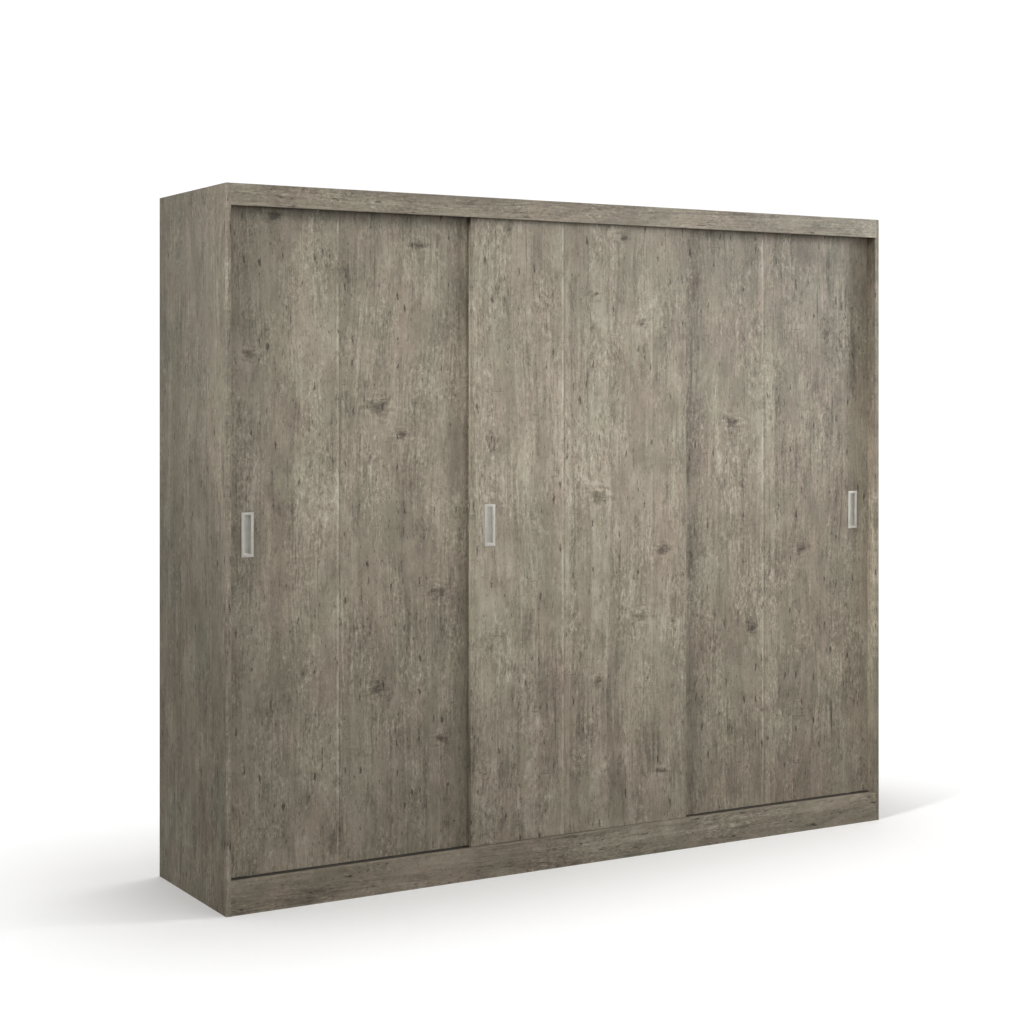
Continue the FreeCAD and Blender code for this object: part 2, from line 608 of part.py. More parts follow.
def back_sheet(bay):
    left, right = sheet_edges(bay)
    bottom = f"({BASE_UNDER} + dims.back_margin)"
    height = f"(dims.overall_height - dims.back_margin - {bottom})"
    size = (f"({right} - {left})", "dims.back_thickness", height)
    sheet = Board(f"back_{bay}", (left, BACK_FACE, bottom), size)
    nails = pairs(nail_columns(bay), nail_heights()) + pairs(nails_across(bay), (MID_TOP, MID_BASE))
    sheet.drill("y", BACK_FACE, nails, "dims.nail_diameter", "dims.back_thickness", 1)


# ---------------------------------------------------------------- carcass fittings

def top_track():
    corner = (INNER_LEFT, TOP_TRACK_FRONT, TOP_TRACK_UNDER)
    track = Board("top_track", corner, (INNER_WIDTH, TOP_TRACK_WIDTH, "dims.top_track_height"))
    gap = "(dims.track_pitch - dims.channel_width - 2 * dims.top_track_wall)"
    front_channel = f"({TOP_TRACK_FRONT} + dims.top_track_wall)"
    between = f"({front_channel} + dims.channel_width + dims.top_track_wall)"
    rear_channel = f"({front_channel} + dims.track_pitch)"
    depth = "(dims.top_track_height - dims.top_track_wall)"
    channel = "dims.channel_width"
    for y, width in ((front_channel, channel), (between, gap), (rear_channel, channel)):
        track.rout("z", TOP_TRACK_UNDER, (INNER_LEFT, y), (INNER_WIDTH, width), depth, 1)
    screws = pairs(track_screw_places(), [TRACK_SCREW_Y])
    hole = "(dims.screw_diameter + 2 * dims.screw_play)"
    track.drill("z", TOP_TRACK_UNDER, screws, hole, "dims.top_track_height", 1)


def bottom_track():
    under = f"({BASE_TOP} - dims.bottom_track_depth)"
    size = (INNER_WIDTH, BOTTOM_TRACK_WIDTH, "dims.bottom_track_depth")
    track = Board("bottom_track", (INNER_LEFT, BOTTOM_TRACK_FRONT, under), size)
    depth = "(dims.bottom_track_depth - dims.bottom_track_floor)"
    for run in (FRONT_RUN, f"({FRONT_RUN} + dims.track_pitch)"):
        track.rout("z", BASE_TOP, (INNER_LEFT, f"({run} - dims.groove_width / 2)"),
                   (INNER_WIDTH, "dims.groove_width"), depth, -1)


def track_stops():
    prototype = new_body("stop_prototype")
    width = "(dims.channel_width - 2 * dims.stop_play)"
    pad(prototype, "z", "0", [rectangle("0", "0", STOP_LENGTH, width)], "dims.stop_height")
    under_web = f"({UNDER_TOP} - dims.top_track_wall - dims.stop_height)"
    places = []
    for run in (FRONT_RUN, f"({FRONT_RUN} + dims.track_pitch)"):
        front = f"({run} - {width} / 2)"
        places.append(((INNER_LEFT, front, under_web), UPRIGHT))
        places.append(((f"({INNER_RIGHT} - {STOP_LENGTH})", front, under_web), UPRIGHT))
    group("track_stops", prototype, places)


def hanging_rails():
    end = "(dims.socket_plate + dims.rail_end_play)"
    length = f"({BAY} - 2 * {end})"
    prototype = new_body("rail_prototype")
    middle = ("dims.rail_thickness / 2", "dims.rail_height / 2")
    pad(prototype, "x", "0", [oval(middle, "dims.rail_thickness", "dims.rail_height")], length)
    inside = ("(dims.rail_thickness - 2 * dims.rail_wall)", "(dims.rail_height - 2 * dims.rail_wall)")
    pocket(prototype, "x", "0", [oval(middle, *inside)], length, 1)
    places = []
    for bay in ("left", "right"):
        corner = (f"({BAYS[bay]} + {end})", f"({RAIL_Y} - dims.rail_thickness / 2)",
                  f"({RAIL_Z} - dims.rail_height / 2)")
        places.append((corner, UPRIGHT))
    group("hanging_rails", prototype, places)


def rail_sockets():
    prototype = new_body("socket_prototype")
    middle = ("dims.socket_width / 2", "dims.socket_height / 2")
    plate = oval(middle, "dims.socket_width", "dims.socket_height")
    pad(prototype, "z", "0", [plate], "dims.socket_plate")
    inside = ("(dims.rail_thickness + 2 * dims.socket_play)", "(dims.rail_height + 2 * dims.socket_play)")
    outside = tuple(f"({size} + 2 * dims.socket_wall)" for size in inside)
    pad(prototype, "z", "dims.socket_plate", [oval(middle, *outside)], "dims.socket_collar")
    top = "(dims.socket_plate + dims.socket_collar)"
    pocket(prototype, "z", top, [oval(middle, *inside)], "dims.socket_collar", -1)
    ends = ("dims.socket_peg_inset", "(dims.socket_height - dims.socket_peg_inset)")
    pegs = [disc("dims.socket_width / 2", place, "dims.peg_diameter") for place in ends]
    pad(prototype, "z", "0", pegs, "dims.peg_depth", -1)
    facing_right = turned((0, 1, 0), (1, 0, 0))
    facing_left = turned((0, -1, 0), (-1, 0, 0))
    places = []
    for bay in ("left", "right"):
        near = f"({RAIL_Y} - dims.socket_width / 2)"
        far = f"({RAIL_Y} + dims.socket_width / 2)"
        foot = f"({RAIL_Z} - dims.socket_height / 2)"
        places.append(((BAYS[bay], near, foot), facing_right))
        places.append(((f"({BAYS[bay]} + {BAY})", far, foot), facing_left))
    group("rail_sockets", prototype, places)


# ---------------------------------------------------------------- fasteners

ALONG = {"x": (1, 0, 0), "-x": (-1, 0, 0), "y": (0, 1, 0), "-y": (0, -1, 0),
         "z": (0, 0, 1), "-z": (0, 0, -1)}


def pointing(direction):
    """Rotation that takes the Y axis, along which a fastener is turned, to a direction."""
    return FreeCAD.Rotation(FreeCAD.Vector(0, 1, 0), FreeCAD.Vector(*ALONG[direction]))


def shifted(place, direction, distance):
    """Move a place of three expressions along a direction."""
    moved = list(place)
    index = "xyz".index(direction[-1])
    sign = "-" if direction.startswith("-") else "+"
    moved[index] = f"({place[index]} {sign} {distance})"
    return tuple(moved)


def bevelled_rod(name, diameter, length, edge):
    rod = new_body(name)
    radius = f"{diameter} / 2"
    small = f"{radius} - {edge}"
    revolve(rod, [("0", "0"), ("0", small), (edge, radius), (f"{length} - {edge}", radius), (length, small),
                  (length, "0")])
    return rod


def headed_rod(name, diameter, length, head, head_length):
    """Rod with a flat head at the far end of its length."""
    rod = new_body(name)
    radius = f"{diameter} / 2"
    neck = f"{length} - {head_length}"
    revolve(rod, [("0", "0"), ("0", radius), (neck, radius), (neck, f"{head} / 2"), (length, f"{head} / 2"),
                  (length, "0")])
    return rod


def dowels():
    length = "(dims.dowel_shallow + dims.dowel_deep - 2 * dims.dowel_play)"
    prototype = bevelled_rod("dowel_prototype", "dims.dowel_diameter", length, "dims.dowel_bevel")
    joints = []
    for face, direction in ((INNER_LEFT, "x"), (INNER_RIGHT, "-x")):
        joints += [((face, y, z), direction) for y, z in pairs(DOWEL_ROWS, (MID_TOP, MID_BASE))]
        joints.append(((face, MID_FRONT_BOARD, MID_PLINTH), direction))
        joints.append(((face, MID_REAR_BOARD, MID_PLINTH), direction))
        joints.append(((face, MID_FRONT_BOARD, MID_FASCIA), direction))
    joints += [((x, BEHIND_FRONT_BOARD, MID_TOP), "y") for x in fascia_dowel_places()]
    for x in MID_DIVIDERS:
        joints += [((x, y, BASE_TOP), "z") for y in DOWEL_ROWS]
        joints += [((x, y, UNDER_TOP), "-z") for y in DOWEL_ROWS]
        joints += [((x, y, BASE_UNDER), "-z") for y in SUPPORT_ROWS]
        joints.append(((x, BEHIND_FRONT_BOARD, MID_PLINTH), "y"))
        joints.append(((x, PLINTH_REAR_FRONT, MID_PLINTH), "-y"))
    sunk = "(dims.dowel_play - dims.dowel_shallow)"
    places = [(shifted(place, direction, sunk), pointing(direction)) for place, direction in joints]
    group("dowels", prototype, places)


def cam_joints():
    """Bolt places on the faces of boards, with the direction of each bolt."""
    joints = [((INNER_LEFT, y, z), "x") for y, z in pairs(CAM_ROWS, (MID_TOP, MID_BASE))]
    joints += [((INNER_RIGHT, y, z), "-x") for y, z in pairs(CAM_ROWS, (MID_TOP, MID_BASE))]
    for x, y in pairs(MID_DIVIDERS, DIVIDER_CAM_ROWS):
        joints.append(((x, y, BASE_TOP), "z"))
        joints.append(((x, y, UNDER_TOP), "-z"))
    return joints


def cam_bolts():
    length = "(dims.cam_bolt_anchor + dims.cam_distance)"
    prototype = headed_rod("cam_bolt_prototype", "dims.cam_bolt_diameter", length, "dims.cam_bolt_head",
                           "dims.cam_bolt_head_length")
    places = []
    for place, direction in cam_joints():
        start = shifted(place, direction, "(-dims.cam_bolt_anchor)")
        places.append((start, pointing(direction)))
    group("cam_bolts", prototype, places)


def cam_locks():
    """The lock's face is at Z 0 and its bore opens toward minus X."""
    prototype = new_body("cam_lock_prototype")
    pad(prototype, "z", "0", [disc("0", "0", "dims.cam_diameter")], "dims.cam_height")
    bore = disc("0", "dims.board / 2", "dims.cam_bore")
    pocket(prototype, "x", "-dims.cam_diameter", [bore],
           "(dims.cam_diameter + dims.cam_bolt_head_length)", 1)
    slot = rectangle("-dims.cam_slot_length / 2", "-dims.cam_slot_width / 2", "dims.cam_slot_length",
                     "dims.cam_slot_width")
    pocket(prototype, "z", "0", [slot], "dims.cam_slot_depth", 1)
    places = []
    for underside in (UNDER_TOP, BASE_UNDER):
        for y in CAM_ROWS:
            places.append(((NEAR_LEFT_END, y, underside), turned((1, 0, 0), (0, 0, 1))))
            places.append(((NEAR_RIGHT_END, y, underside), turned((-1, 0, 0), (0, 0, 1))))
    low, high = from_both_ends(BASE_TOP, UNDER_TOP, "dims.cam_distance")
    for face, inward in ((f"({DIVIDER_LEFT} + dims.board)", -1), (DIVIDER_RIGHT, 1)):
        for y in DIVIDER_CAM_ROWS:
            places.append(((face, y, low), turned((0, 0, 1), (inward, 0, 0))))
            places.append(((face, y, high), turned((0, 0, -1), (inward, 0, 0))))
    group("cam_locks", prototype, places)


def shelf_pins():
    prototype = bevelled_rod("pin_prototype", "dims.peg_diameter", "dims.pin_length", "dims.pin_bevel")
    places = []
    for bay, left in BAYS.items():
        heights = [HAT_PIN] + (CENTRE_PINS if bay == "centre" else [])
        for face, direction in ((left, "x"), (f"({left} + {BAY})", "-x")):
            for y, z in pairs(PIN_ROWS, heights):
                start = shifted((face, y, z), direction, "(-dims.peg_depth)")
                places.append((start, pointing(direction)))
    group("shelf_pins", prototype, places)


def back_nails():
    length = "(dims.nail_length + dims.back_inset)"
    prototype = headed_rod("nail_prototype", "dims.nail_diameter", length,
                           "dims.nail_head", "dims.back_inset")
    places = []
    start = "(dims.overall_depth / 2 - dims.nail_length - dims.back_inset)"
    for bay in BAYS:
        nails = pairs(nail_columns(bay), nail_heights()) + pairs(nails_across(bay), (MID_TOP, MID_BASE))
        places += [((x, start, z), UPRIGHT) for x, z in nails]
    group("back_nails", prototype, places)


def screw_prototype():
    screw = headed_rod("screw_prototype", "dims.screw_diameter", "dims.screw_length", "dims.screw_head",
                       "dims.screw_head_height")
    arm_length, arm_width = "dims.screw_head * 0.6", "dims.screw_head * 0.12"
    arms = ((arm_length, arm_width), (arm_width, arm_length))
    for width, height in arms:
        arm = rectangle(f"-{width} / 2", f"-{height} / 2", width, height)
        pocket(screw, "y", "dims.screw_length", [arm], "dims.screw_head_height * 0.7", -1)
    return screw


def track_screws(screw):
    head = f"({UNDER_TOP} - dims.top_track_wall - dims.screw_head_height + dims.screw_length)"
    places = [((x, TRACK_SCREW_Y, head), pointing("-z")) for x in track_screw_places()]
    group("track_screws", screw, places)


# ---------------------------------------------------------------- doors

def wheel_centre_height():
    floor = f"({BASE_TOP} - dims.bottom_track_depth + dims.bottom_track_floor)"
    return f"({floor} + dims.wheel_play + dims.wheel_diameter / 2)"


WHEEL_Z = wheel_centre_height()
HOUSING_RUN = "(dims.running_offset - dims.board + dims.mortise_depth)"
EAR_LEVEL = "(dims.mortise_depth - dims.ear_thickness)"


def housing_body(name, width, height, ear_width, ear_height, ear_bottom):
    """Block with two screw ears. Its corner is its origin and its back face is flush."""
    body = new_body(name)
    block = rectangle(f"({ear_width} - {width}) / 2", "0", width, "dims.mortise_depth")
    pad(body, "z", "0", [block], height)
    pad(body, "z", ear_bottom, [rectangle("0", EAR_LEVEL, ear_width, "dims.ear_thickness")], ear_height)
    middle = f"({ear_bottom} + {ear_height} / 2)"
    for x in ("dims.ear_screw_inset", f"({ear_width} - dims.ear_screw_inset)"):
        hole = disc(x, middle, "(dims.screw_diameter + 2 * dims.screw_play)")
        pocket(body, "y", "dims.mortise_depth", [hole], "dims.ear_thickness", -1)
        sink = disc(x, middle, "(dims.screw_head + 2 * dims.screw_play)")
        pocket(body, "y", "dims.mortise_depth", [sink], "dims.screw_head_height", -1)
    return body


def roller_housing():
    body = housing_body("roller_housing_prototype", "dims.roller_body_width", "dims.roller_body_height",
                        "dims.roller_ear_width", "dims.roller_ear_height", "dims.roller_ear_bottom")
    slot = rectangle("(dims.roller_ear_width - dims.roller_slot_length) / 2",
                     f"({HOUSING_RUN} - dims.roller_slot_width / 2)",
                     "dims.roller_slot_length", "dims.roller_slot_width")
    pocket(body, "z", "0", [slot], "dims.roller_slot_height", 1)
    bore = disc("dims.roller_ear_width / 2", f"({WHEEL_Z} - dims.door_bottom_height)", "dims.axle_diameter")
    pocket(body, "y", "0", [bore], "dims.mortise_depth", 1)
    return body


BOLT_REST_FOOT = "(dims.guide_body_height + dims.bolt_reach - dims.bolt_height)"


def guide_housing():
    body = housing_body("guide_housing_prototype", "dims.guide_body_width", "dims.guide_body_height",
                        "dims.guide_ear_width", "dims.guide_ear_height", "dims.guide_ear_bottom")
    length = "(dims.bolt_length + 2 * dims.bolt_play)"
    width = "(dims.bolt_thickness + 2 * dims.bolt_play)"
    slot = rectangle(f"(dims.guide_ear_width - {length}) / 2", f"({HOUSING_RUN} - {width} / 2)",
                     length, width)
    pocket(body, "z", "dims.guide_body_height", [slot], "dims.guide_slot_depth", -1)
    opening = "(dims.tab_width + 2 * dims.bolt_play)"
    lowest = f"({BOLT_REST_FOOT} + dims.tab_lift - dims.bolt_travel - dims.bolt_play)"
    window = rectangle(f"(dims.guide_ear_width - {opening}) / 2", lowest, opening,
                       "(dims.tab_height + dims.bolt_travel + 2 * dims.bolt_play)")
    pocket(body, "y", "dims.mortise_depth", [window], f"(dims.mortise_depth - {HOUSING_RUN})", -1)
    return body


def axle_prototype():
    axle = new_body("axle_prototype")
    pad(axle, "y", "0", [disc("0", "0", "dims.axle_diameter")], "dims.mortise_depth", 1)
    return axle


def wheel(name, x, run):
    corner = (x, f"({run} - dims.wheel_hub_width / 2)", WHEEL_Z)
    body = new_body(name, corner)
    bore = "(dims.axle_diameter / 2 + dims.axle_running_fit)"
    hub = "(dims.wheel_hub_diameter / 2)"
    inner = "(dims.wheel_rim_inner_diameter / 2)"
    outer = "(dims.wheel_diameter / 2)"

    def sides(width):
        return from_both_ends("0", "dims.wheel_hub_width", f"(dims.wheel_hub_width - {width}) / 2")

    rim_near, rim_far = sides("dims.wheel_rim_width")
    web_near, web_far = sides("dims.wheel_web_width")
    shoulder = f"({outer} - dims.wheel_bevel)"
    revolve(body, [
        ("0", bore), ("dims.wheel_hub_width", bore), ("dims.wheel_hub_width", hub), (web_far, hub),
        (web_far, inner), (rim_far, inner), (rim_far, shoulder), (f"{rim_far} - dims.wheel_bevel", outer),
        (f"{rim_near} + dims.wheel_bevel", outer), (rim_near, shoulder), (rim_near, inner), (web_near, inner),
        (web_near, hub), ("0", hub),
    ])


def guide_bolt(name, x, run):
    foot = "(dims.door_top_height + dims.bolt_reach - dims.bolt_height)"
    corner = (f"({x} - dims.bolt_length / 2)", f"({run} - dims.bolt_thickness / 2)", foot)
    body = Board(name, corner, ("dims.bolt_length", "dims.bolt_thickness", "dims.bolt_height")).body
    tab = rectangle("(dims.bolt_length - dims.tab_width) / 2", "dims.tab_lift",
                    "dims.tab_width", "dims.tab_height")
    reach = "(dims.board - dims.running_offset - dims.bolt_thickness / 2)"
    pad(body, "y", "dims.bolt_thickness", [tab], reach, 1)
    doc.recompute()
    top = body.Tip.Shape.BoundBox.ZMax
    bevel(body, "dims.bolt_bevel", lambda edge: edge.BoundBox.ZMin > top - 0.01)


def handle(name, x, face):
    """Flush pull: a flat rim in front of the door and a cup let into it."""
    corner = (x, f"({face} - dims.handle_lip)", "(dims.handle_centre_height - dims.handle_height / 2)")
    body = Board(name, corner, ("dims.handle_width", "dims.handle_lip", "dims.handle_height")).body
    edge = "(dims.handle_rim - dims.handle_wall)"
    cup = rectangle(edge, edge, f"(dims.handle_width - 2 * {edge})", f"(dims.handle_height - 2 * {edge})")
    pad(body, "y", "dims.handle_lip", [cup], "dims.handle_cup_depth", 1)
    opening = rectangle("dims.handle_rim", "dims.handle_rim", "(dims.handle_width - 2 * dims.handle_rim)",
                        "(dims.handle_height - 2 * dims.handle_rim)")
    pocket(body, "y", "0", [opening], "(dims.handle_lip + dims.handle_cup_depth - dims.handle_wall)", 1)
    doc.recompute()
    front = body.Tip.Shape.BoundBox.YMin
    bevel(body, "dims.handle_bevel", lambda edge: edge.BoundBox.YMax < front + 0.01)


def mortise(board, x, foot, rear_face, width, height, ear_width, ear_height, ear_bottom):
    """Room for a housing whose middle is at x and whose lower edge is at foot."""
    play = "dims.mortise_play"
    board.rout("y", rear_face, (f"({x} - {width} / 2 - {play})", f"({foot} - {play})"),
               (f"({width} + 2 * {play})", f"({height} + 2 * {play})"), "dims.mortise_depth", -1)
    board.rout("y", rear_face, (f"({x} - {ear_width} / 2 - {play})", f"({foot} + {ear_bottom} - {play})"),
               (f"({ear_width} + 2 * {play})", f"({ear_height} + 2 * {play})"), "dims.ear_thickness", -1)


def ear_screws(x, foot, ear_width, ear_height, ear_bottom):
    reach = f"({ear_width} / 2 - dims.ear_screw_inset)"
    height = f"({foot} + {ear_bottom} + {ear_height} / 2)"
    return [(f"({x} - {reach})", height), (f"({x} + {reach})", height)]


ROLLER_EARS = ("dims.roller_ear_width", "dims.roller_ear_height", "dims.roller_ear_bottom")
GUIDE_EARS = ("dims.guide_ear_width", "dims.guide_ear_height", "dims.guide_ear_bottom")


def door(side, x, setback, handle_x, hardware):
    """Door panel with its flush pull, two wheels and two guide bolts."""
    name = f"door_{side}"
    face = f"({FRONT} + {setback})"
    rear = f"({face} + dims.board)"
    run = f"({face} + dims.running_offset)"
    foot = "dims.door_bottom_height"
    guide_foot = "(dims.door_top_height - dims.guide_body_height)"
    panel = Board(f"{name}_panel", (x, face, foot), ("dims.door_width", "dims.board", DOOR_HEIGHT))
    axles = from_both_ends(x, f"({x} + dims.door_width)", "dims.roller_inset")
    guides = from_both_ends(x, f"({x} + dims.door_width)", "dims.guide_inset")
    screws = []
    for axle in axles:
        mortise(panel, axle, foot, rear, "dims.roller_body_width", "dims.roller_body_height", *ROLLER_EARS)
        screws += ear_screws(axle, foot, *ROLLER_EARS)
    for guide in guides:
        mortise(panel, guide, guide_foot, rear, "dims.guide_body_width", "dims.guide_body_height",
                *GUIDE_EARS)
        screws += ear_screws(guide, guide_foot, *GUIDE_EARS)
    panel.drill("y", rear, screws, "dims.screw_diameter", "dims.screw_length", -1)
    cup_edge = "(dims.handle_rim - dims.handle_wall - dims.mortise_play)"
    cup_foot = f"(dims.handle_centre_height - dims.handle_height / 2 + {cup_edge})"
    panel.rout("y", face, (f"({handle_x} + {cup_edge})", cup_foot),
               (f"(dims.handle_width - 2 * {cup_edge})", f"(dims.handle_height - 2 * {cup_edge})"),
               "(dims.handle_cup_depth + dims.mortise_play)", 1)
    handle(f"{name}_handle", handle_x, face)
    for letter, axle, guide in zip("ab", axles, guides):
        wheel(f"{name}_wheel_{letter}", axle, run)
        guide_bolt(f"{name}_guide_bolt_{letter}", guide, run)
    mortise_floor = f"({rear} - dims.mortise_depth)"
    rollers = [((f"({axle} - dims.roller_ear_width / 2)", mortise_floor, foot), UPRIGHT) for axle in axles]
    group(f"{name}_roller_housings", hardware["roller"], rollers)
    pins = [((axle, mortise_floor, WHEEL_Z), UPRIGHT) for axle in axles]
    group(f"{name}_axles", hardware["axle"], pins)
    tops = [((f"({guide} - dims.guide_ear_width / 2)", mortise_floor, guide_foot), UPRIGHT)
            for guide in guides]
    group(f"{name}_guide_housings", hardware["guide"], tops)
    tips = [((u, f"({rear} - dims.screw_length)", v), UPRIGHT) for u, v in screws]
    group(f"{name}_screws", hardware["screw"], tips)


# ---------------------------------------------------------------- assembly

def build_carcass():
    outer_nail = "(dims.rebate_width - dims.back_play - dims.nail_inset)"
    side_panel("side_panel_left", LEFT, INNER_LEFT, -1, f"({INNER_LEFT} - {outer_nail})")
    side_panel("side_panel_right", INNER_RIGHT, INNER_RIGHT, 1, f"({INNER_RIGHT} + {outer_nail})")
    top_panel()
    base_panel()
    plinth()
    fascia()
    left_nails = (nail_columns("left")[1], nail_columns("centre")[0])
    right_nails = (nail_columns("centre")[1], nail_columns("right")[0])
    divider("divider_left", DIVIDER_LEFT, MID_LEFT_DIVIDER, 1, left_nails)
    divider("divider_right", DIVIDER_RIGHT, MID_RIGHT_DIVIDER, -1, right_nails)
    for bay in BAYS:
        shelf(f"hat_shelf_{bay}", bay, "dims.hat_shelf_height")
        back_sheet(bay)
    for number in range(1, CENTRE_SHELVES + 1):
        shelf(f"centre_shelf_{number}", "centre", shelf_top(number))
    top_track()
    bottom_track()
    track_stops()
    hanging_rails()
    rail_sockets()
    dowels()
    cam_bolts()
    cam_locks()
    shelf_pins()
    back_nails()


def build_doors(screw):
    hardware = {
        "roller": roller_housing(),
        "guide": guide_housing(),
        "axle": axle_prototype(),
        "screw": screw,
    }
    rear_setback = "(dims.front_track_setback + dims.track_pitch)"
    left_x = f"({INNER_LEFT} + dims.side_gap)"
    middle_x = "(-dims.door_width / 2)"
    right_x = f"({INNER_RIGHT} - dims.side_gap - dims.door_width)"
    door("left", left_x, rear_setback, f"({left_x} + dims.handle_edge)", hardware)
    door("middle", middle_x, "dims.front_track_setback", f"({middle_x} + dims.handle_edge)", hardware)
    right_handle = f"({right_x} + dims.door_width - dims.handle_edge - dims.handle_width)"
    door("right", right_x, rear_setback, right_handle, hardware)


def check_and_export():
    doc.recompute()
    for item in doc.Objects:
        if "Invalid" in item.State or "Error" in item.State:
            raise RuntimeError(f"{item.Label} did not build: {item.State}")
        if item.TypeId == "PartDesign::Pocket":
            removed = item.BaseFeature.Shape.Volume - item.Shape.Volume
            if removed < 0.01:
                raise RuntimeError(f"{item.Label} takes nothing away")
    os.makedirs("parts", exist_ok=True)
    nodes = [item for item in doc.Objects if item.TypeId in ("PartDesign::Body", "Part::Compound")]
    nodes = [item for item in nodes if not item.Label.endswith("_prototype")]
    for node in nodes:
        if node.Shape.isNull() or not node.Shape.isValid():
            raise RuntimeError(f"{node.Label} has no valid shape")
        node.Shape.exportStep(os.path.join("parts", f"{node.Label}.step"))
        box = node.Shape.BoundBox
        spans = (f"x {box.XMin:.2f}..{box.XMax:.2f} y {box.YMin:.2f}..{box.YMax:.2f} "
                 f"z {box.ZMin:.2f}..{box.ZMax:.2f}")
        print(f"{node.Label}: {len(node.Shape.Solids)} solids, {spans}")
    print(f"{len(nodes)} nodes")


write_sheet()
build_carcass()
shared_screw = screw_prototype()
track_screws(shared_screw)
build_doors(shared_screw)
check_and_export()
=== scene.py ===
import bpy
import bmesh
import math
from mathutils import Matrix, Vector


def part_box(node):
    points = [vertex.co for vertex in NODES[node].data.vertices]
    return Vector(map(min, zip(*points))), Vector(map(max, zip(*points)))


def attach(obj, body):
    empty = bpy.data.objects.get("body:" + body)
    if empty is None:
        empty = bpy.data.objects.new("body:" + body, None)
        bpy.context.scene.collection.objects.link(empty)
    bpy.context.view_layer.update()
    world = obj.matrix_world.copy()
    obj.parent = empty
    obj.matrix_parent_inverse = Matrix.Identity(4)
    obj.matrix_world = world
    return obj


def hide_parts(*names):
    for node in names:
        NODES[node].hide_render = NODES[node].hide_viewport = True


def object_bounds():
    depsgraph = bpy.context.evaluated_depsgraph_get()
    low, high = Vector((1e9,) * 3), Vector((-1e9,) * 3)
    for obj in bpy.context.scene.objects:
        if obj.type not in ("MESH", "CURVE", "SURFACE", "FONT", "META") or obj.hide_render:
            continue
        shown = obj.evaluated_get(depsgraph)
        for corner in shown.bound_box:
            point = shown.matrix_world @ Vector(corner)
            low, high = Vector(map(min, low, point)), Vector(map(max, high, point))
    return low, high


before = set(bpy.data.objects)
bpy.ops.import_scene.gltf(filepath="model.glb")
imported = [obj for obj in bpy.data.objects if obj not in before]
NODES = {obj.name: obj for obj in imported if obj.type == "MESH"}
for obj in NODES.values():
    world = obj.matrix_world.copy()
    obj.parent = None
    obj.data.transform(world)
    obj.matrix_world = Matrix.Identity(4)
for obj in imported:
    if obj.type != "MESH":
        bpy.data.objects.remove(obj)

CAD_LOW, CAD_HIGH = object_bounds()
DOORS = ("left", "middle", "right")
MM = 0.001
NOISE_LOW, NOISE_HIGH = 0.3, 0.7      # the range that a noise node's values mostly stay in


# ---------------------------------------------------------------- node helpers

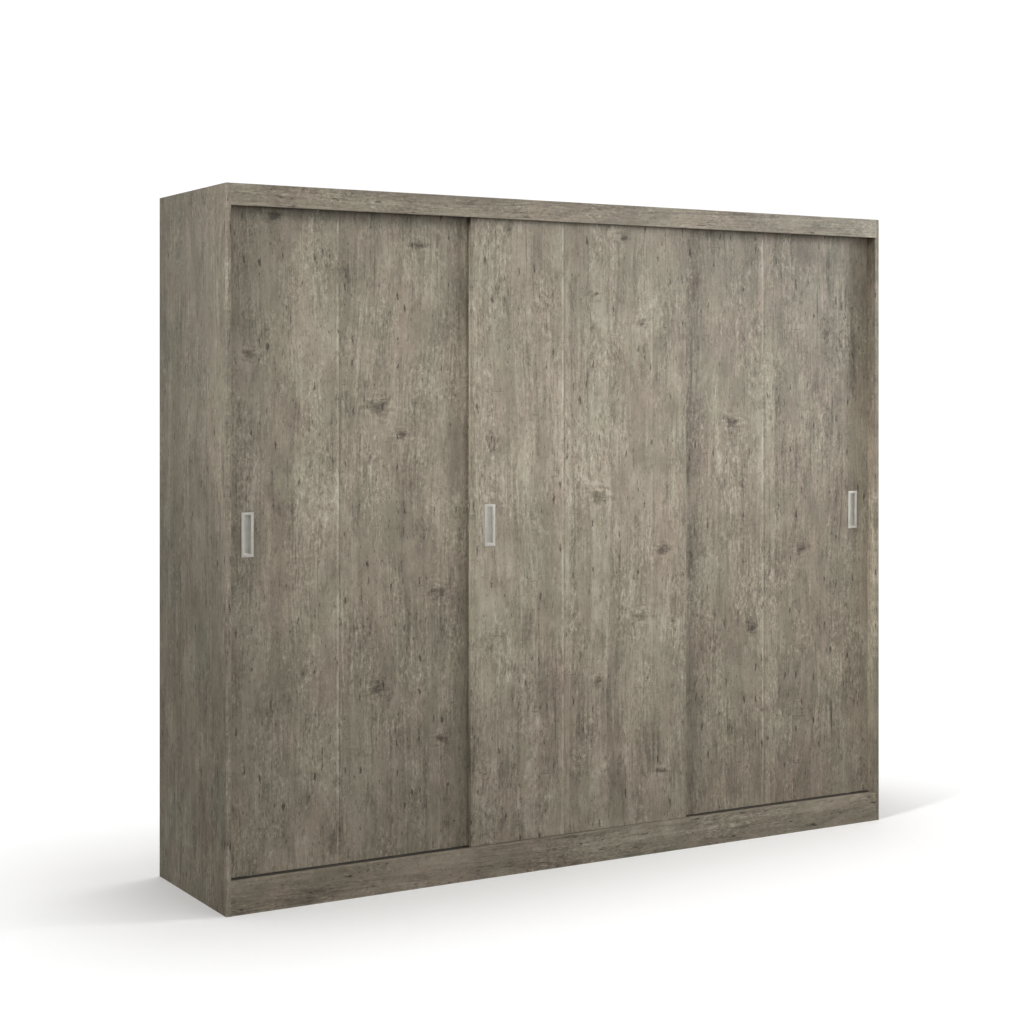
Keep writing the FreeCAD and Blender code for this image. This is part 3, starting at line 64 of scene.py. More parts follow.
class Graph:
    """Short calls for building one material's nodes. A value is a number or a socket."""

    def __init__(self, tree):
        self.tree = tree

    def add(self, kind, **settings):
        node = self.tree.nodes.new(kind)
        for name, value in settings.items():
            setattr(node, name, value)
        return node

    def put(self, socket, value):
        if isinstance(value, bpy.types.NodeSocket):
            self.tree.links.new(value, socket)
        elif value is not None:
            socket.default_value = value

    def math(self, operation, a, b=None, c=None):
        node = self.add("ShaderNodeMath", operation=operation)
        for socket, value in zip(node.inputs, (a, b, c)):
            self.put(socket, value)
        return node.outputs[0]

    def sum(self, *values):
        total = values[0]
        for value in values[1:]:
            total = self.math("ADD", total, value)
        return total

    def times(self, a, b):
        return self.math("MULTIPLY", a, b)

    def less(self, a, b):
        return self.math("SUBTRACT", a, b)

    def over(self, a, b):
        return self.math("DIVIDE", a, b)

    def between(self, value, low, high):
        """low where value is 0, high where it is 1."""
        return self.math("MULTIPLY_ADD", value, high - low, low)

    def vector(self, x, y, z):
        node = self.add("ShaderNodeCombineXYZ")
        for socket, value in zip(node.inputs, (x, y, z)):
            self.put(socket, value)
        return node.outputs[0]

    def scaled(self, axes, scales):
        """Place with its own number of cycles a metre on each axis."""
        return self.vector(*[self.times(axis, scale) for axis, scale in zip(axes, scales)])

    def noise(self, vector, detail=2.0, roughness=0.5):
        node = self.add("ShaderNodeTexNoise", noise_dimensions="3D")
        self.put(node.inputs["Vector"], vector)
        self.put(node.inputs["Scale"], 1.0)
        self.put(node.inputs["Detail"], detail)
        self.put(node.inputs["Roughness"], roughness)
        return node.outputs["Fac"]

    def random(self, value):
        node = self.add("ShaderNodeTexWhiteNoise", noise_dimensions="1D")
        self.put(node.inputs["W"], value)
        return node.outputs["Value"]

    def cells(self, vector, distance="EUCLIDEAN"):
        """Distance to the nearest cell's middle, and two random numbers of that cell."""
        node = self.add("ShaderNodeTexVoronoi", voronoi_dimensions="2D", distance=distance)
        self.put(node.inputs["Vector"], vector)
        self.put(node.inputs["Scale"], 1.0)
        split = self.add("ShaderNodeSeparateColor")
        self.put(split.inputs[0], node.outputs["Color"])
        return node.outputs["Distance"], split.outputs[0], split.outputs[1]

    def band(self, value, low, high):
        """0 below low and 1 above high, smooth between. low may be the larger one."""
        node = self.add("ShaderNodeMapRange", interpolation_type="SMOOTHSTEP")
        flip = low > high
        self.put(node.inputs["Value"], value)
        node.inputs["From Min"].default_value = min(low, high)
        node.inputs["From Max"].default_value = max(low, high)
        node.inputs["To Min"].default_value = 1.0 if flip else 0.0
        node.inputs["To Max"].default_value = 0.0 if flip else 1.0
        return node.outputs[0]

    def spread(self, value, low, high):
        """Stretch a noise's usual range to low..high without clamping."""
        node = self.add("ShaderNodeMapRange", clamp=False)
        self.put(node.inputs["Value"], value)
        node.inputs["From Min"].default_value = NOISE_LOW
        node.inputs["From Max"].default_value = NOISE_HIGH
        node.inputs["To Min"].default_value = low
        node.inputs["To Max"].default_value = high
        return node.outputs[0]

    def mix(self, factor, a, b, blend="MIX"):
        node = self.add("ShaderNodeMix", data_type="RGBA", blend_type=blend)
        node.inputs[0].default_value = 1.0
        self.put(node.inputs[0], factor)
        self.put(node.inputs[6], a)
        self.put(node.inputs[7], b)
        return node.outputs[2]

    def ramp(self, value, stops):
        node = self.add("ShaderNodeValToRGB")
        elements = node.color_ramp.elements
        while len(elements) > 1:
            elements.remove(elements[-1])
        elements[0].position, elements[0].color = stops[0]
        for position, color in stops[1:]:
            elements.new(position).color = color
        self.put(node.inputs[0], value)
        return node.outputs[0]

    def swing(self, value, reach):
        """Stretch a noise's usual range to -reach..reach."""
        return self.spread(value, -reach, reach)

    def bump(self, height, distance, strength=1.0):
        node = self.add("ShaderNodeBump")
        self.put(node.inputs["Height"], height)
        node.inputs["Distance"].default_value = distance
        node.inputs["Strength"].default_value = strength
        return node.outputs[0]


def rgb(red, green, blue):
    return (red, green, blue, 1.0)


def new_material(name):
    material = bpy.data.materials.new(name)
    material.use_nodes = True
    graph = Graph(material.node_tree)
    shader = next(node for node in material.node_tree.nodes if node.type == "BSDF_PRINCIPLED")
    return material, graph, shader


def object_axes(graph):
    coordinates = graph.add("ShaderNodeTexCoord").outputs["Object"]
    split = graph.add("ShaderNodeSeparateXYZ")
    graph.put(split.inputs[0], coordinates)
    return split.outputs


def set_material(node_name, material):
    slots = NODES[node_name].data.materials
    slots.clear()
    slots.append(material)


# ---------------------------------------------------------------- weathered pine decor

PLANK = 0.342            # width of a printed plank, metres
STRIP = 0.071            # width of the strips of grain inside it
PLANKS_BEFORE = 40.0     # planks before the joint at seam_at, so that none has a negative number
PLANK_SLIP = 7.3         # how far apart in the noise two planks may lie
SLABS = (19.0, 5.5)      # patches of slightly different tone, in cycles a metre across and along
KNOT_SQUEEZE = 0.66      # the grain bends round a knot further along the grain than across it
KNOT_FLAT = (0.55, 2.2)  # weights across and along that make the knot itself lie flat
KNOT_REACH = 5.5         # how many radii away the grain is straight again
KNOT_SOFTNESS = 0.6      # the larger, the wider and gentler the bend
KNOT_MIDDLE = 2.2        # "inside" at the middle of a knot, 1.2 at its rim
NO_KNOT = -3.0           # "inside" far from every knot
ARCH_WAVES = 26.0        # phase of the arched grain's waves over one half height

# Noise layers of the print: cycles a metre across and along the grain, offset from the board's
# seed, detail and roughness. None means that the layer's origin already differs between planks.
LAYERS = {
    "sway": (1.8, 0.7, None, 2.0, 0.6),
    "wobble": (12.0, 4.0, None, 3.0, 0.6),
    "nudge": (45.0, 16.0, None, 3.0, 0.6),
    "streaks": (62.0, 2.0, None, 3.0, 0.6),
    "lines": (175.0, 7.0, None, 3.0, 0.65),
    "fine": (430.0, 38.0, None, 2.0, 0.6),
    "patch": (5.5, 4.0, 3.1, 3.0, 0.6),
    "cloud": (20.0, 10.0, 8.4, 5.0, 0.68),
    "grit": (120.0, 70.0, 5.2, 4.0, 0.72),
    "busy": (13.0, 3.4, 16.0, 4.0, 0.65),
    "zone": (7.5, 3.6, 31.0, 4.0, 0.6),
    "scales": (95.0, 42.0, 21.0, 5.0, 0.8),
    "bark": (40.0, 15.0, 26.0, 3.0, 0.6),
    "bundle": (17.0, 2.2, 55.0, 4.0, 0.65),
    "hairline": (150.0, 4.5, 51.0, 4.0, 0.7),
    "shade": (26.0, 8.0, 41.0, 4.0, 0.7),
    "cross_hair": (15.0, 240.0, 81.0, 2.0, 0.5),
    "cross_zone": (8.0, 12.0, 91.0, 2.0, 0.6),
    "smudge": (24.0, 85.0, 33.0, 3.0, 0.6),
    "hue": (6.5, 3.6, 14.2, 4.0, 0.6),
    "knot_rim": (42.0, 60.0, 2.7, 5.0, 0.75),
    "arch_jitter": (24.0, 12.0, 4.4, 3.0, 0.6),
    "speck_bend": (70.0, 30.0, 0.0, 3.0, 0.6),
    "speck_rim": (300.0, 70.0, 0.0, 3.0, 0.7),
}

# How far these layers bend what they are added to, in its own unit.
BENDS = {"sway": 0.020, "wobble": 0.0035, "nudge": 0.22, "knot_rim": 0.9, "arch_jitter": 0.20,
         "speck_bend": 0.16}

# Where each mark starts to show and where it shows in full, on its layer or field.
CUTS = {
    "busy": (0.40, 0.60),
    "zone": (0.47, 0.60),
    "flakes": (0.53, 0.60),
    "gaps": (0.44, 0.37),
    "outline": (0.016, 0.002),
    "outline_grit": (0.42, 0.56),
    "dark_lines": (0.405, 0.345),
    "dark_bundle": (0.49, 0.58),
    "pale_lines": (0.60, 0.66),
    "pale_bundle": (0.52, 0.42),
    "shades": (0.56, 0.68),
    "cross_hairs": (0.62, 0.72),
    "cross_zone": (0.58, 0.66),
    "rings": (0.1, 1.0),
    "ring_cloud": (0.42, 0.56),
    "core": (0.7, 2.1),
    "core_grit": (0.40, 0.56),
    "smudge": (-1.0, 0.8),
    "seam_near": (0.5, 0.4),
    "seam_lines": (0.36, 0.50),
    "seam_cloud": (0.40, 0.56),
    "seam_pale": (0.972, 0.988),
    "seam_dark": (0.030, 0.004),
    "strip_joint": (0.055, 0.010),
    "strip_cloud": (0.44, 0.58),
    "arch": (1.0, 0.15),
}

# How far each layer swings the tone either way, and how much each mark adds to it. The tone runs
# from 0, darkest, to 1, palest.
BASE_TONE = 0.535
SWINGS = {"streaks": 0.07, "lines": 0.070, "fine": 0.065, "grit": 0.100, "patch": 0.040,
          "cloud": 0.088, "slab": 0.045, "strip": 0.045}
MARKS = {"arches": 0.045, "flakes": 0.19, "gaps": -0.20, "shades": -0.12, "outline": -0.17,
         "ticks": -0.32, "marks": -0.20, "cross_hairs": -0.16, "dark_lines": -0.19,
         "pale_lines": 0.11, "rings": 0.07, "core": -0.30, "smudge": 0.13,
         "seam_pale": 0.17, "seam_dark": -0.14, "strip_joint": -0.11}
DARK_PLANK = -0.05       # tone of the darkest plank against the palest
RING_WAVES = 13.0        # phase of a knot's rings from its rim inwards

# Dark marks as cells: cells a metre across and along, seed, share of cells with one, and size.
TICKS = (40.0, 9.0, 61.0, 0.34, 0.14)
SMALL_MARKS = (95.0, 30.0, 66.0, 0.20, 0.20)

TONES = [
    (0.0, rgb(0.045, 0.036, 0.027)),
    (0.22, rgb(0.098, 0.082, 0.061)),
    (0.40, rgb(0.180, 0.157, 0.119)),
    (0.54, rgb(0.252, 0.224, 0.173)),
    (0.70, rgb(0.350, 0.318, 0.254)),
    (1.0, rgb(0.500, 0.465, 0.390)),
]
TINTS = [
    (0.30, rgb(0.975, 1.0, 0.955)),
    (0.46, rgb(1.01, 1.0, 0.97)),
    (0.54, rgb(1.02, 0.99, 0.97)),
    (0.72, rgb(1.045, 0.972, 0.955)),
]
# Paler colour at the boards' edges: partly wear, partly a painted highlight where the edges catch
# the light.
WORN_EDGE_AND_HIGHLIGHT, WEAR_AND_HIGHLIGHT_STRENGTH = rgb(0.42, 0.39, 0.33), 0.45
GLUE_LINE, GLUE_STRENGTH = rgb(0.10, 0.085, 0.07), 0.35
# Distances from a board's edge: the paler wear and painted edge highlight from where to where, and
# the glue line's two sides.
WEAR_AND_HIGHLIGHT_BAND = (1.3 * MM, 0.2 * MM)
GLUE_OUTSIDE, GLUE_INSIDE = (0.75 * MM, 0.95 * MM), (1.35 * MM, 1.1 * MM)
PRINT_ROUGHNESS, PRINT_SPECULAR = 0.56, 0.38
PRINT_RELIEF = 0.22 * MM


def layer(graph, name, across, along, origin):
    """One noise layer of the table over the board."""
    pitch_across, pitch_along, offset, detail, roughness = LAYERS[name]
    if offset is not None:
        origin = offset + origin
    place = graph.vector(graph.times(across, pitch_across), graph.times(along, pitch_along), origin)
    return graph.noise(place, detail, roughness)


def bend(graph, name, across, along, origin):
    """A noise layer as a small shift either way."""
    return graph.swing(layer(graph, name, across, along, origin), BENDS[name])


def cut(graph, name, value):
    """0 where the named mark is absent and 1 where it shows in full."""
    return graph.band(value, *CUTS[name])


def placed_knots(graph, u, v, knots):
    """Grain shifted sideways round the named knots, and how far inside a knot each point is."""
    ragged = bend(graph, "knot_rim", u, v, 0.0)
    shifted = u
    inside = NO_KNOT
    weight_across, weight_along = KNOT_FLAT
    for place_u, place_v, radius in knots:
        across = graph.less(u, place_u)
        along = graph.times(graph.less(v, place_v), KNOT_SQUEEZE)
        squared = graph.sum(graph.times(across, across), graph.times(along, along))
        softened = graph.sum(squared, KNOT_SOFTNESS * radius * radius)
        near = graph.over(radius * radius, softened)
        fade = graph.band(squared, (KNOT_REACH * radius) ** 2, 0.0)
        shifted = graph.less(shifted, graph.times(across, graph.times(near, fade)))
        flat = graph.sum(graph.times(across, graph.times(across, weight_across)),
                         graph.times(along, graph.times(along, weight_along)))
        core = graph.over(graph.math("SQRT", flat), radius)
        inside = graph.math("MAXIMUM", inside, graph.less(KNOT_MIDDLE, core))
    return shifted, graph.sum(inside, ragged)


def specks(graph, u, v, seed, kind):
    """Short dark marks: one in a random place in some cells of a grid stretched along the grain."""
    across, along, offset, chance, reach = kind
    seed = offset + seed
    lean = graph.sum(bend(graph, "speck_bend", u, v, seed), seed)
    place = graph.vector(graph.math("MULTIPLY_ADD", u, across, lean),
                         graph.math("MULTIPLY_ADD", v, along, 1.7 * seed), 0.0)
    distance, luck, _ = graph.cells(place)
    size = graph.times(graph.band(luck, 1.0 - chance, 1.0), reach)
    ragged = graph.swing(layer(graph, "speck_rim", u, v, seed), 0.6 * reach)
    return graph.band(graph.less(size, graph.sum(distance, ragged)), 0.0, 0.35 * reach)


def arches(graph, u, v, places):
    """Cathedral grain: stacked pointed arches in a few places, as a wave that fades out."""
    total = 0.0
    for place_u, place_v, half_width, half_height in places:
        across = graph.over(graph.less(u, place_u), half_width)
        along = graph.over(graph.less(v, place_v), half_height)
        squared = graph.sum(graph.times(across, across), graph.times(along, along))
        lift = graph.math("MULTIPLY_ADD", graph.times(across, across), 0.9, along)
        jitter = bend(graph, "arch_jitter", u, v, 0.0)
        wave = graph.math("SINE", graph.times(graph.sum(lift, jitter), ARCH_WAVES))
        total = graph.sum(total, graph.times(wave, cut(graph, "arch", squared)))
    return total


def pine_fields(graph, u, v, seed, seam_at, knots, cathedrals):
    """Fields of the printed decor over u across and v along the grain, in metres."""
    place = graph.over(graph.less(u, seam_at - PLANKS_BEFORE * PLANK), PLANK)
    plank = graph.random(graph.sum(graph.math("FLOOR", place), seed))
    slip = graph.math("MULTIPLY_ADD", plank, PLANK_SLIP, seed)
    sway = bend(graph, "sway", u, v, slip)
    wobble = bend(graph, "wobble", u, v, slip)
    pulled, inside = placed_knots(graph, u, v, knots)
    grain = graph.sum(pulled, sway, wobble)
    nudge = bend(graph, "nudge", u, v, slip)
    slab_place = graph.vector(graph.math("MULTIPLY_ADD", grain, SLABS[0], nudge),
                              graph.math("MULTIPLY_ADD", v, SLABS[1], graph.sum(nudge, seed)), 0.0)
    _, slab, slab_hue = graph.cells(slab_place, distance="CHEBYCHEV")
    strips = graph.math("MULTIPLY_ADD", grain, 1.0 / STRIP, graph.times(nudge, 0.25))
    from_seam = graph.math("ABSOLUTE", graph.less(place, PLANKS_BEFORE))
    fields = {
        "u": u, "v": v, "seed": seed, "grain": grain, "inside": inside,
        "slab": slab, "slab_hue": slab_hue, "plank": plank,
        "strip": graph.random(graph.sum(graph.math("FLOOR", strips), 3.7 + seed)),
        "strip_place": graph.math("FRACT", strips),
        "seam_place": graph.math("FRACT", place),
        "seam_near": cut(graph, "seam_near", from_seam),
        "arches": arches(graph, u, v, cathedrals),
        "patch": layer(graph, "patch", u, v, seed),
    }
    for name in ("streaks", "lines", "fine"):
        fields[name] = layer(graph, name, grain, v, slip)
    for name in ("cloud", "grit"):
        fields[name] = layer(graph, name, grain, v, seed)
    return fields


def pine_marks(graph, f):
    """The marks on the print by name, each from 0, none, to 1, in full."""
    u, v, seed, grain = f["u"], f["v"], f["seed"], f["grain"]
    marks = {}
    # scaly weathered areas: pale flakes with dark gaps
    zone = cut(graph, "zone", layer(graph, "zone", u, v, seed))
    scales = layer(graph, "scales", grain, v, seed)
    marks["flakes"] = graph.times(cut(graph, "flakes", scales), zone)
    marks["gaps"] = graph.times(cut(graph, "gaps", scales), zone)
    # brownish shadows with soft upright borders
    marks["shades"] = cut(graph, "shades", layer(graph, "shade", grain, v, seed))
    # broken dark outlines, as of bark
    bark = layer(graph, "bark", grain, v, seed)
    outline = cut(graph, "outline", graph.math("ABSOLUTE", graph.less(bark, 0.5)))
    marks["outline"] = graph.times(outline, cut(graph, "outline_grit", f["grit"]))
    # dark ticks along the grain, and a few hair lines across it
    marks["ticks"] = specks(graph, u, v, seed, TICKS)
    marks["marks"] = specks(graph, u, v, seed, SMALL_MARKS)
    cross_hair = cut(graph, "cross_hairs", layer(graph, "cross_hair", u, v, seed))
    cross_zone = cut(graph, "cross_zone", layer(graph, "cross_zone", u, v, seed))
    marks["cross_hairs"] = graph.times(cross_hair, cross_zone)
    # crisp hair lines along the grain, dark and pale, in loose bundles
    bundle = layer(graph, "bundle", grain, v, seed)
    hairline = layer(graph, "hairline", grain, v, seed)
    marks["dark_lines"] = graph.times(cut(graph, "dark_lines", hairline),
                                      cut(graph, "dark_bundle", bundle))
    marks["pale_lines"] = graph.times(cut(graph, "pale_lines", hairline),
                                      cut(graph, "pale_bundle", bundle))
    return marks


def knot_marks(graph, f):
    """Knots placed one by one: smudged dark cores with broken rings."""
    inside = f["inside"]
    rings = graph.times(graph.math("SINE", graph.times(inside, RING_WAVES)),
                        cut(graph, "rings", inside))
    gritty = graph.between(cut(graph, "core_grit", f["grit"]), 0.70, 1.10)
    smudge = graph.swing(layer(graph, "smudge", f["u"], f["v"], f["seed"]), 1.0)
    return {
        "rings": graph.times(rings, cut(graph, "ring_cloud", f["cloud"])),
        "core": graph.times(cut(graph, "core", inside), gritty),
        "smudge": graph.times(smudge, cut(graph, "smudge", inside)),
    }


def joint_marks(graph, f):
    """Joints between the printed planks, a pale line with a dark one beside it, and strips."""
    broken = graph.times(cut(graph, "seam_lines", f["lines"]), cut(graph, "seam_cloud", f["cloud"]))
    broken = graph.between(broken, 0.3, 1.0)
    broken = graph.times(broken, graph.between(f["seam_near"], 0.25, 1.0))
    return {
        "seam_pale": graph.times(cut(graph, "seam_pale", f["seam_place"]), broken),
        "seam_dark": graph.times(cut(graph, "seam_dark", f["seam_place"]), broken),
        "strip_joint": graph.times(cut(graph, "strip_joint", f["strip_place"]),
                                   cut(graph, "strip_cloud", f["cloud"])),
    }


def pine_tone(graph, f):
    """How light the print is, 0 to 1, and its dark ticks."""
    detail = graph.sum(*[graph.swing(f[name], SWINGS[name])
                         for name in ("streaks", "lines", "fine", "grit")])
    busy = cut(graph, "busy", layer(graph, "busy", f["grain"], f["v"], f["seed"]))
    tone = graph.sum(
        BASE_TONE,
        graph.times(detail, graph.between(busy, 0.35, 1.30)),
        *[graph.swing(f[name], SWINGS[name]) for name in ("patch", "cloud")],
        *[graph.between(f[name], -SWINGS[name], SWINGS[name]) for name in ("slab", "strip")],
        graph.between(f["plank"], DARK_PLANK, 0.0),
        graph.times(f["arches"], MARKS["arches"]),
    )
    surface = pine_marks(graph, f)
    for marks in (surface, knot_marks(graph, f), joint_marks(graph, f)):
        tone = graph.sum(tone, *[graph.times(mark, MARKS[name]) for name, mark in marks.items()])
    return tone, graph.math("MAXIMUM", surface["ticks"], surface["marks"])


def pine_colour(graph, f, tone):
    hue = layer(graph, "hue", f["u"], f["v"], f["seed"])
    hue = graph.sum(hue, graph.between(f["slab_hue"], -0.08, 0.08))
    return graph.mix(1.0, graph.ramp(tone, TONES), graph.ramp(hue, TINTS), "MULTIPLY")


def edge_distance(graph, axes, low, high):
    """Distance from a point on a box-shaped board to the board's nearest edge."""
    gaps = []
    for axis, near, far in zip(axes, low, high):
        gaps.append(graph.math("MINIMUM", graph.less(axis, near), graph.less(far, axis)))
    smaller = graph.math("MINIMUM", gaps[0], gaps[1])
    larger = graph.math("MAXIMUM", gaps[0], gaps[1])
    return graph.math("MAXIMUM", smaller, graph.math("MINIMUM", larger, gaps[2]))


def decor_material(node_name, grain, seed, seam_at=0.0, knots=(), cathedrals=()):
    """Matt weathered pine print on one board, with paler edges that are partly wear and partly a
    painted edge highlight, and edge bands.
    """
    material, graph, shader = new_material(f"decor_{node_name}")
    axes = object_axes(graph)
    low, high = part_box(node_name)
    if grain == "z":
        u = graph.sum(axes[0], axes[1])
        v = axes[2]
    else:
        u = graph.sum(axes[1], axes[2])
        v = axes[0]
    fields = pine_fields(graph, u, v, seed, seam_at, knots, cathedrals)
    tone, ticks = pine_tone(graph, fields)
    colour = pine_colour(graph, fields, tone)
    edge = edge_distance(graph, axes, low, high)
    scuff = graph.noise(graph.scaled(axes, (90.0, 90.0, 60.0)), 3.0)
    # paler edges where the scuff noise allows: partly wear, partly a painted highlight on the edges
    wear_and_highlight = graph.times(graph.band(edge, *WEAR_AND_HIGHLIGHT_BAND), graph.band(scuff, 0.38, 0.62))
    colour = graph.mix(graph.times(wear_and_highlight, WEAR_AND_HIGHLIGHT_STRENGTH), colour, WORN_EDGE_AND_HIGHLIGHT)
    glue = graph.times(graph.band(edge, *GLUE_OUTSIDE), graph.band(edge, *GLUE_INSIDE))
    colour = graph.mix(graph.times(glue, GLUE_STRENGTH), colour, GLUE_LINE)
    graph.put(shader.inputs["Base Color"], colour)
    rough = graph.sum(graph.spread(fields["lines"], 0.06, -0.05), graph.swing(tone, 0.01),
                      PRINT_ROUGHNESS)
    graph.put(shader.inputs["Roughness"], graph.sum(rough, graph.times(ticks, 0.12)))
    shader.inputs["Specular IOR Level"].default_value = PRINT_SPECULAR
    height = graph.sum(graph.times(fields["lines"], 0.55), graph.times(fields["fine"], 0.35),
                       graph.times(ticks, -0.6))
    graph.put(shader.inputs["Normal"], graph.bump(height, PRINT_RELIEF, 0.7))
    set_material(node_name, material)


# What the doors show, in metres: knots as (across, height, radius), arched grain as (across,
# height, half width, half height), and one joint between two printed planks.
DOOR_KNOTS = {
    "left": (
        (-0.710, 1.459, 0.020), (-0.637, 1.371, 0.014), (-0.720, 0.609, 0.017),
        (-0.508, 0.890, 0.018), (-1.133, 1.612, 0.012), (-0.577, 1.946, 0.013),
        (-1.051, 2.015, 0.013), (-0.500, 0.440, 0.013),
    ),
    "middle": (
        (0.061, 1.171, 0.021), (0.230, 0.777, 0.018), (0.311, 0.984, 0.016),
        (0.061, 0.577, 0.011), (0.155, 2.002, 0.013), (0.049, 1.809, 0.010),
        (0.230, 1.727, 0.010), (0.305, 0.259, 0.013),
    ),
    "right": (
        (0.620, 1.395, 0.018), (0.700, 0.700, 0.013), (0.905, 0.960, 0.015),
        (1.020, 1.700, 0.012),
    ),
}
DOOR_ARCHES = {
    "left": ((-0.770, 1.42, 0.035, 0.17), (-0.450, 0.76, 0.045, 0.20)),
    "middle": ((-0.290, 1.85, 0.040, 0.16), (0.060, 1.36, 0.045, 0.22), (0.210, 0.42, 0.040, 0.18)),
    "right": ((0.800, 1.15, 0.040, 0.20), (0.560, 0.52, 0.040, 0.16)),
}
DOOR_SEAM = {"left": -0.845, "middle": -0.070, "right": 0.745}

# Boards by the way their grain runs, with seeds that keep their prints apart.
UPRIGHT_BOARDS = {"side_panel_left": 41.0, "side_panel_right": 47.5,
                  "divider_left": 52.0, "divider_right": 58.0}
FLAT_BOARDS = ("fascia", "plinth_front", "plinth_rear", "plinth_supports", "top_panel",
               "base_panel", "hat_shelf_left", "hat_shelf_centre", "hat_shelf_right",
               "centre_shelf_1", "centre_shelf_2", "centre_shelf_3")
DOOR_SEED, DOOR_SEED_STEP = 11.0, 7.3
FLAT_SEED, FLAT_SEED_STEP = 71.0, 5.1


def dress_boards():
    for index, side in enumerate(DOORS):
        node = f"door_{side}_panel"
        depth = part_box(node)[0].y      # across is x + y on a board, so places on its face add y
        knots = tuple((x + depth, *rest) for x, *rest in DOOR_KNOTS[side])
        cathedrals = tuple((x + depth, *rest) for x, *rest in DOOR_ARCHES[side])
        decor_material(node, "z", DOOR_SEED + DOOR_SEED_STEP * index, DOOR_SEAM[side] + depth,
                       knots, cathedrals)
    for node, seed in UPRIGHT_BOARDS.items():
        decor_material(node, "z", seed)
    for index, node in enumerate(FLAT_BOARDS):
        decor_material(node, "x", FLAT_SEED + FLAT_SEED_STEP * index)


# ---------------------------------------------------------------- other materials

CAST_GRAIN = 2600.0      # cycles a metre of the finest roughness on metal
BRUSHED_GRAIN = 45.0     # the same along brush lines
METAL_SMEARS = 38.0
PLASTIC_DRIFT = 30.0
BEECH_FLECKS = 500.0
HARDBOARD_TONES = [
    (0.1, rgb(0.165, 0.125, 0.088)),
    (0.5, rgb(0.262, 0.208, 0.150)),
    (0.9, rgb(0.360, 0.298, 0.225)),
]
BEECH_TONES = [(0.3, rgb(0.50, 0.33, 0.18)), (0.7, rgb(0.68, 0.49, 0.29))]


def shaded(colour, amount):
    """A colour made darker or lighter, no lighter than white."""
    return rgb(*[min(1.0, channel * amount) for channel in colour])


def hardboard(node_name, seed):
    """Plain printed face of thin hardboard, with faint fibres and a mottled tone."""
    material, graph, shader = new_material(f"hardboard_{node_name}")
    x, y, z = object_axes(graph)
    blotches = graph.vector(graph.math("MULTIPLY_ADD", x, 9.0, seed), y, graph.times(z, 7.0))
    mottle = graph.noise(blotches, 5.0, 0.6)
    threads = graph.vector(graph.math("MULTIPLY_ADD", x, 420.0, seed), graph.times(y, 420.0),
                           graph.times(z, 380.0))
    fibres = graph.noise(threads, 3.0, 0.65)
    tone = graph.sum(graph.swing(mottle, 0.10), graph.swing(fibres, 0.16), 0.5)
    graph.put(shader.inputs["Base Color"], graph.ramp(tone, HARDBOARD_TONES))
    graph.put(shader.inputs["Roughness"], graph.spread(fibres, 0.66, 0.78))
    graph.put(shader.inputs["Normal"], graph.bump(fibres, 0.00025, 0.6))
    set_material(node_name, material)


def metal(name, colour, roughness, brushed=None, brush_depth=0.00003, tarnish=0.0):
    """Metal with a fine brushed or cast surface. brushed is the axis along which the brush ran."""
    material, graph, shader = new_material(name)
    axes = object_axes(graph)
    scales = [CAST_GRAIN] * 3
    if brushed is not None:
        scales[brushed] = BRUSHED_GRAIN
    lines = graph.noise(graph.scaled(axes, scales), 3.0, 0.6)
    smears = graph.noise(graph.scaled(axes, [METAL_SMEARS] * 3), 4.0, 0.6)
    tone = graph.sum(graph.times(lines, 0.5), graph.times(smears, 0.5))
    tones = [(0.32, shaded(colour, 0.80 - tarnish)), (0.62, shaded(colour, 1.06))]
    graph.put(shader.inputs["Base Color"], graph.ramp(tone, tones))
    shader.inputs["Metallic"].default_value = 1.0
    rough = graph.sum(graph.swing(lines, 0.05), graph.spread(smears, -0.04, 0.05), roughness)
    graph.put(shader.inputs["Roughness"], rough)
    graph.put(shader.inputs["Normal"], graph.bump(lines, brush_depth, 0.6))
    return material


def plastic(name, colour, roughness, grit=900.0):
    """Moulded plastic with a fine spark-eroded texture and slight colour drift."""
    material, graph, shader = new_material(name)
    axes = object_axes(graph)
    grain = graph.noise(graph.scaled(axes, [grit] * 3), 3.0, 0.6)
    drift = graph.noise(graph.scaled(axes, [PLASTIC_DRIFT] * 3), 3.0)
    tones = [(0.35, shaded(colour, 0.86)), (0.65, shaded(colour, 1.08))]
    graph.put(shader.inputs["Base Color"], graph.ramp(drift, tones))
    graph.put(shader.inputs["Roughness"], graph.sum(graph.swing(grain, 0.06), roughness))
    graph.put(shader.inputs["Normal"], graph.bump(grain, 0.00006, 0.5))
    return material


def raw_beech():
    """Bare beech for the dowels, with fine flecks."""
    material, graph, shader = new_material("raw_beech")
    flecks = graph.noise(graph.scaled(object_axes(graph), [BEECH_FLECKS] * 3), 3.0)
    graph.put(shader.inputs["Base Color"], graph.ramp(flecks, BEECH_TONES))
    graph.put(shader.inputs["Roughness"], graph.spread(flecks, 0.6, 0.75))
    return material


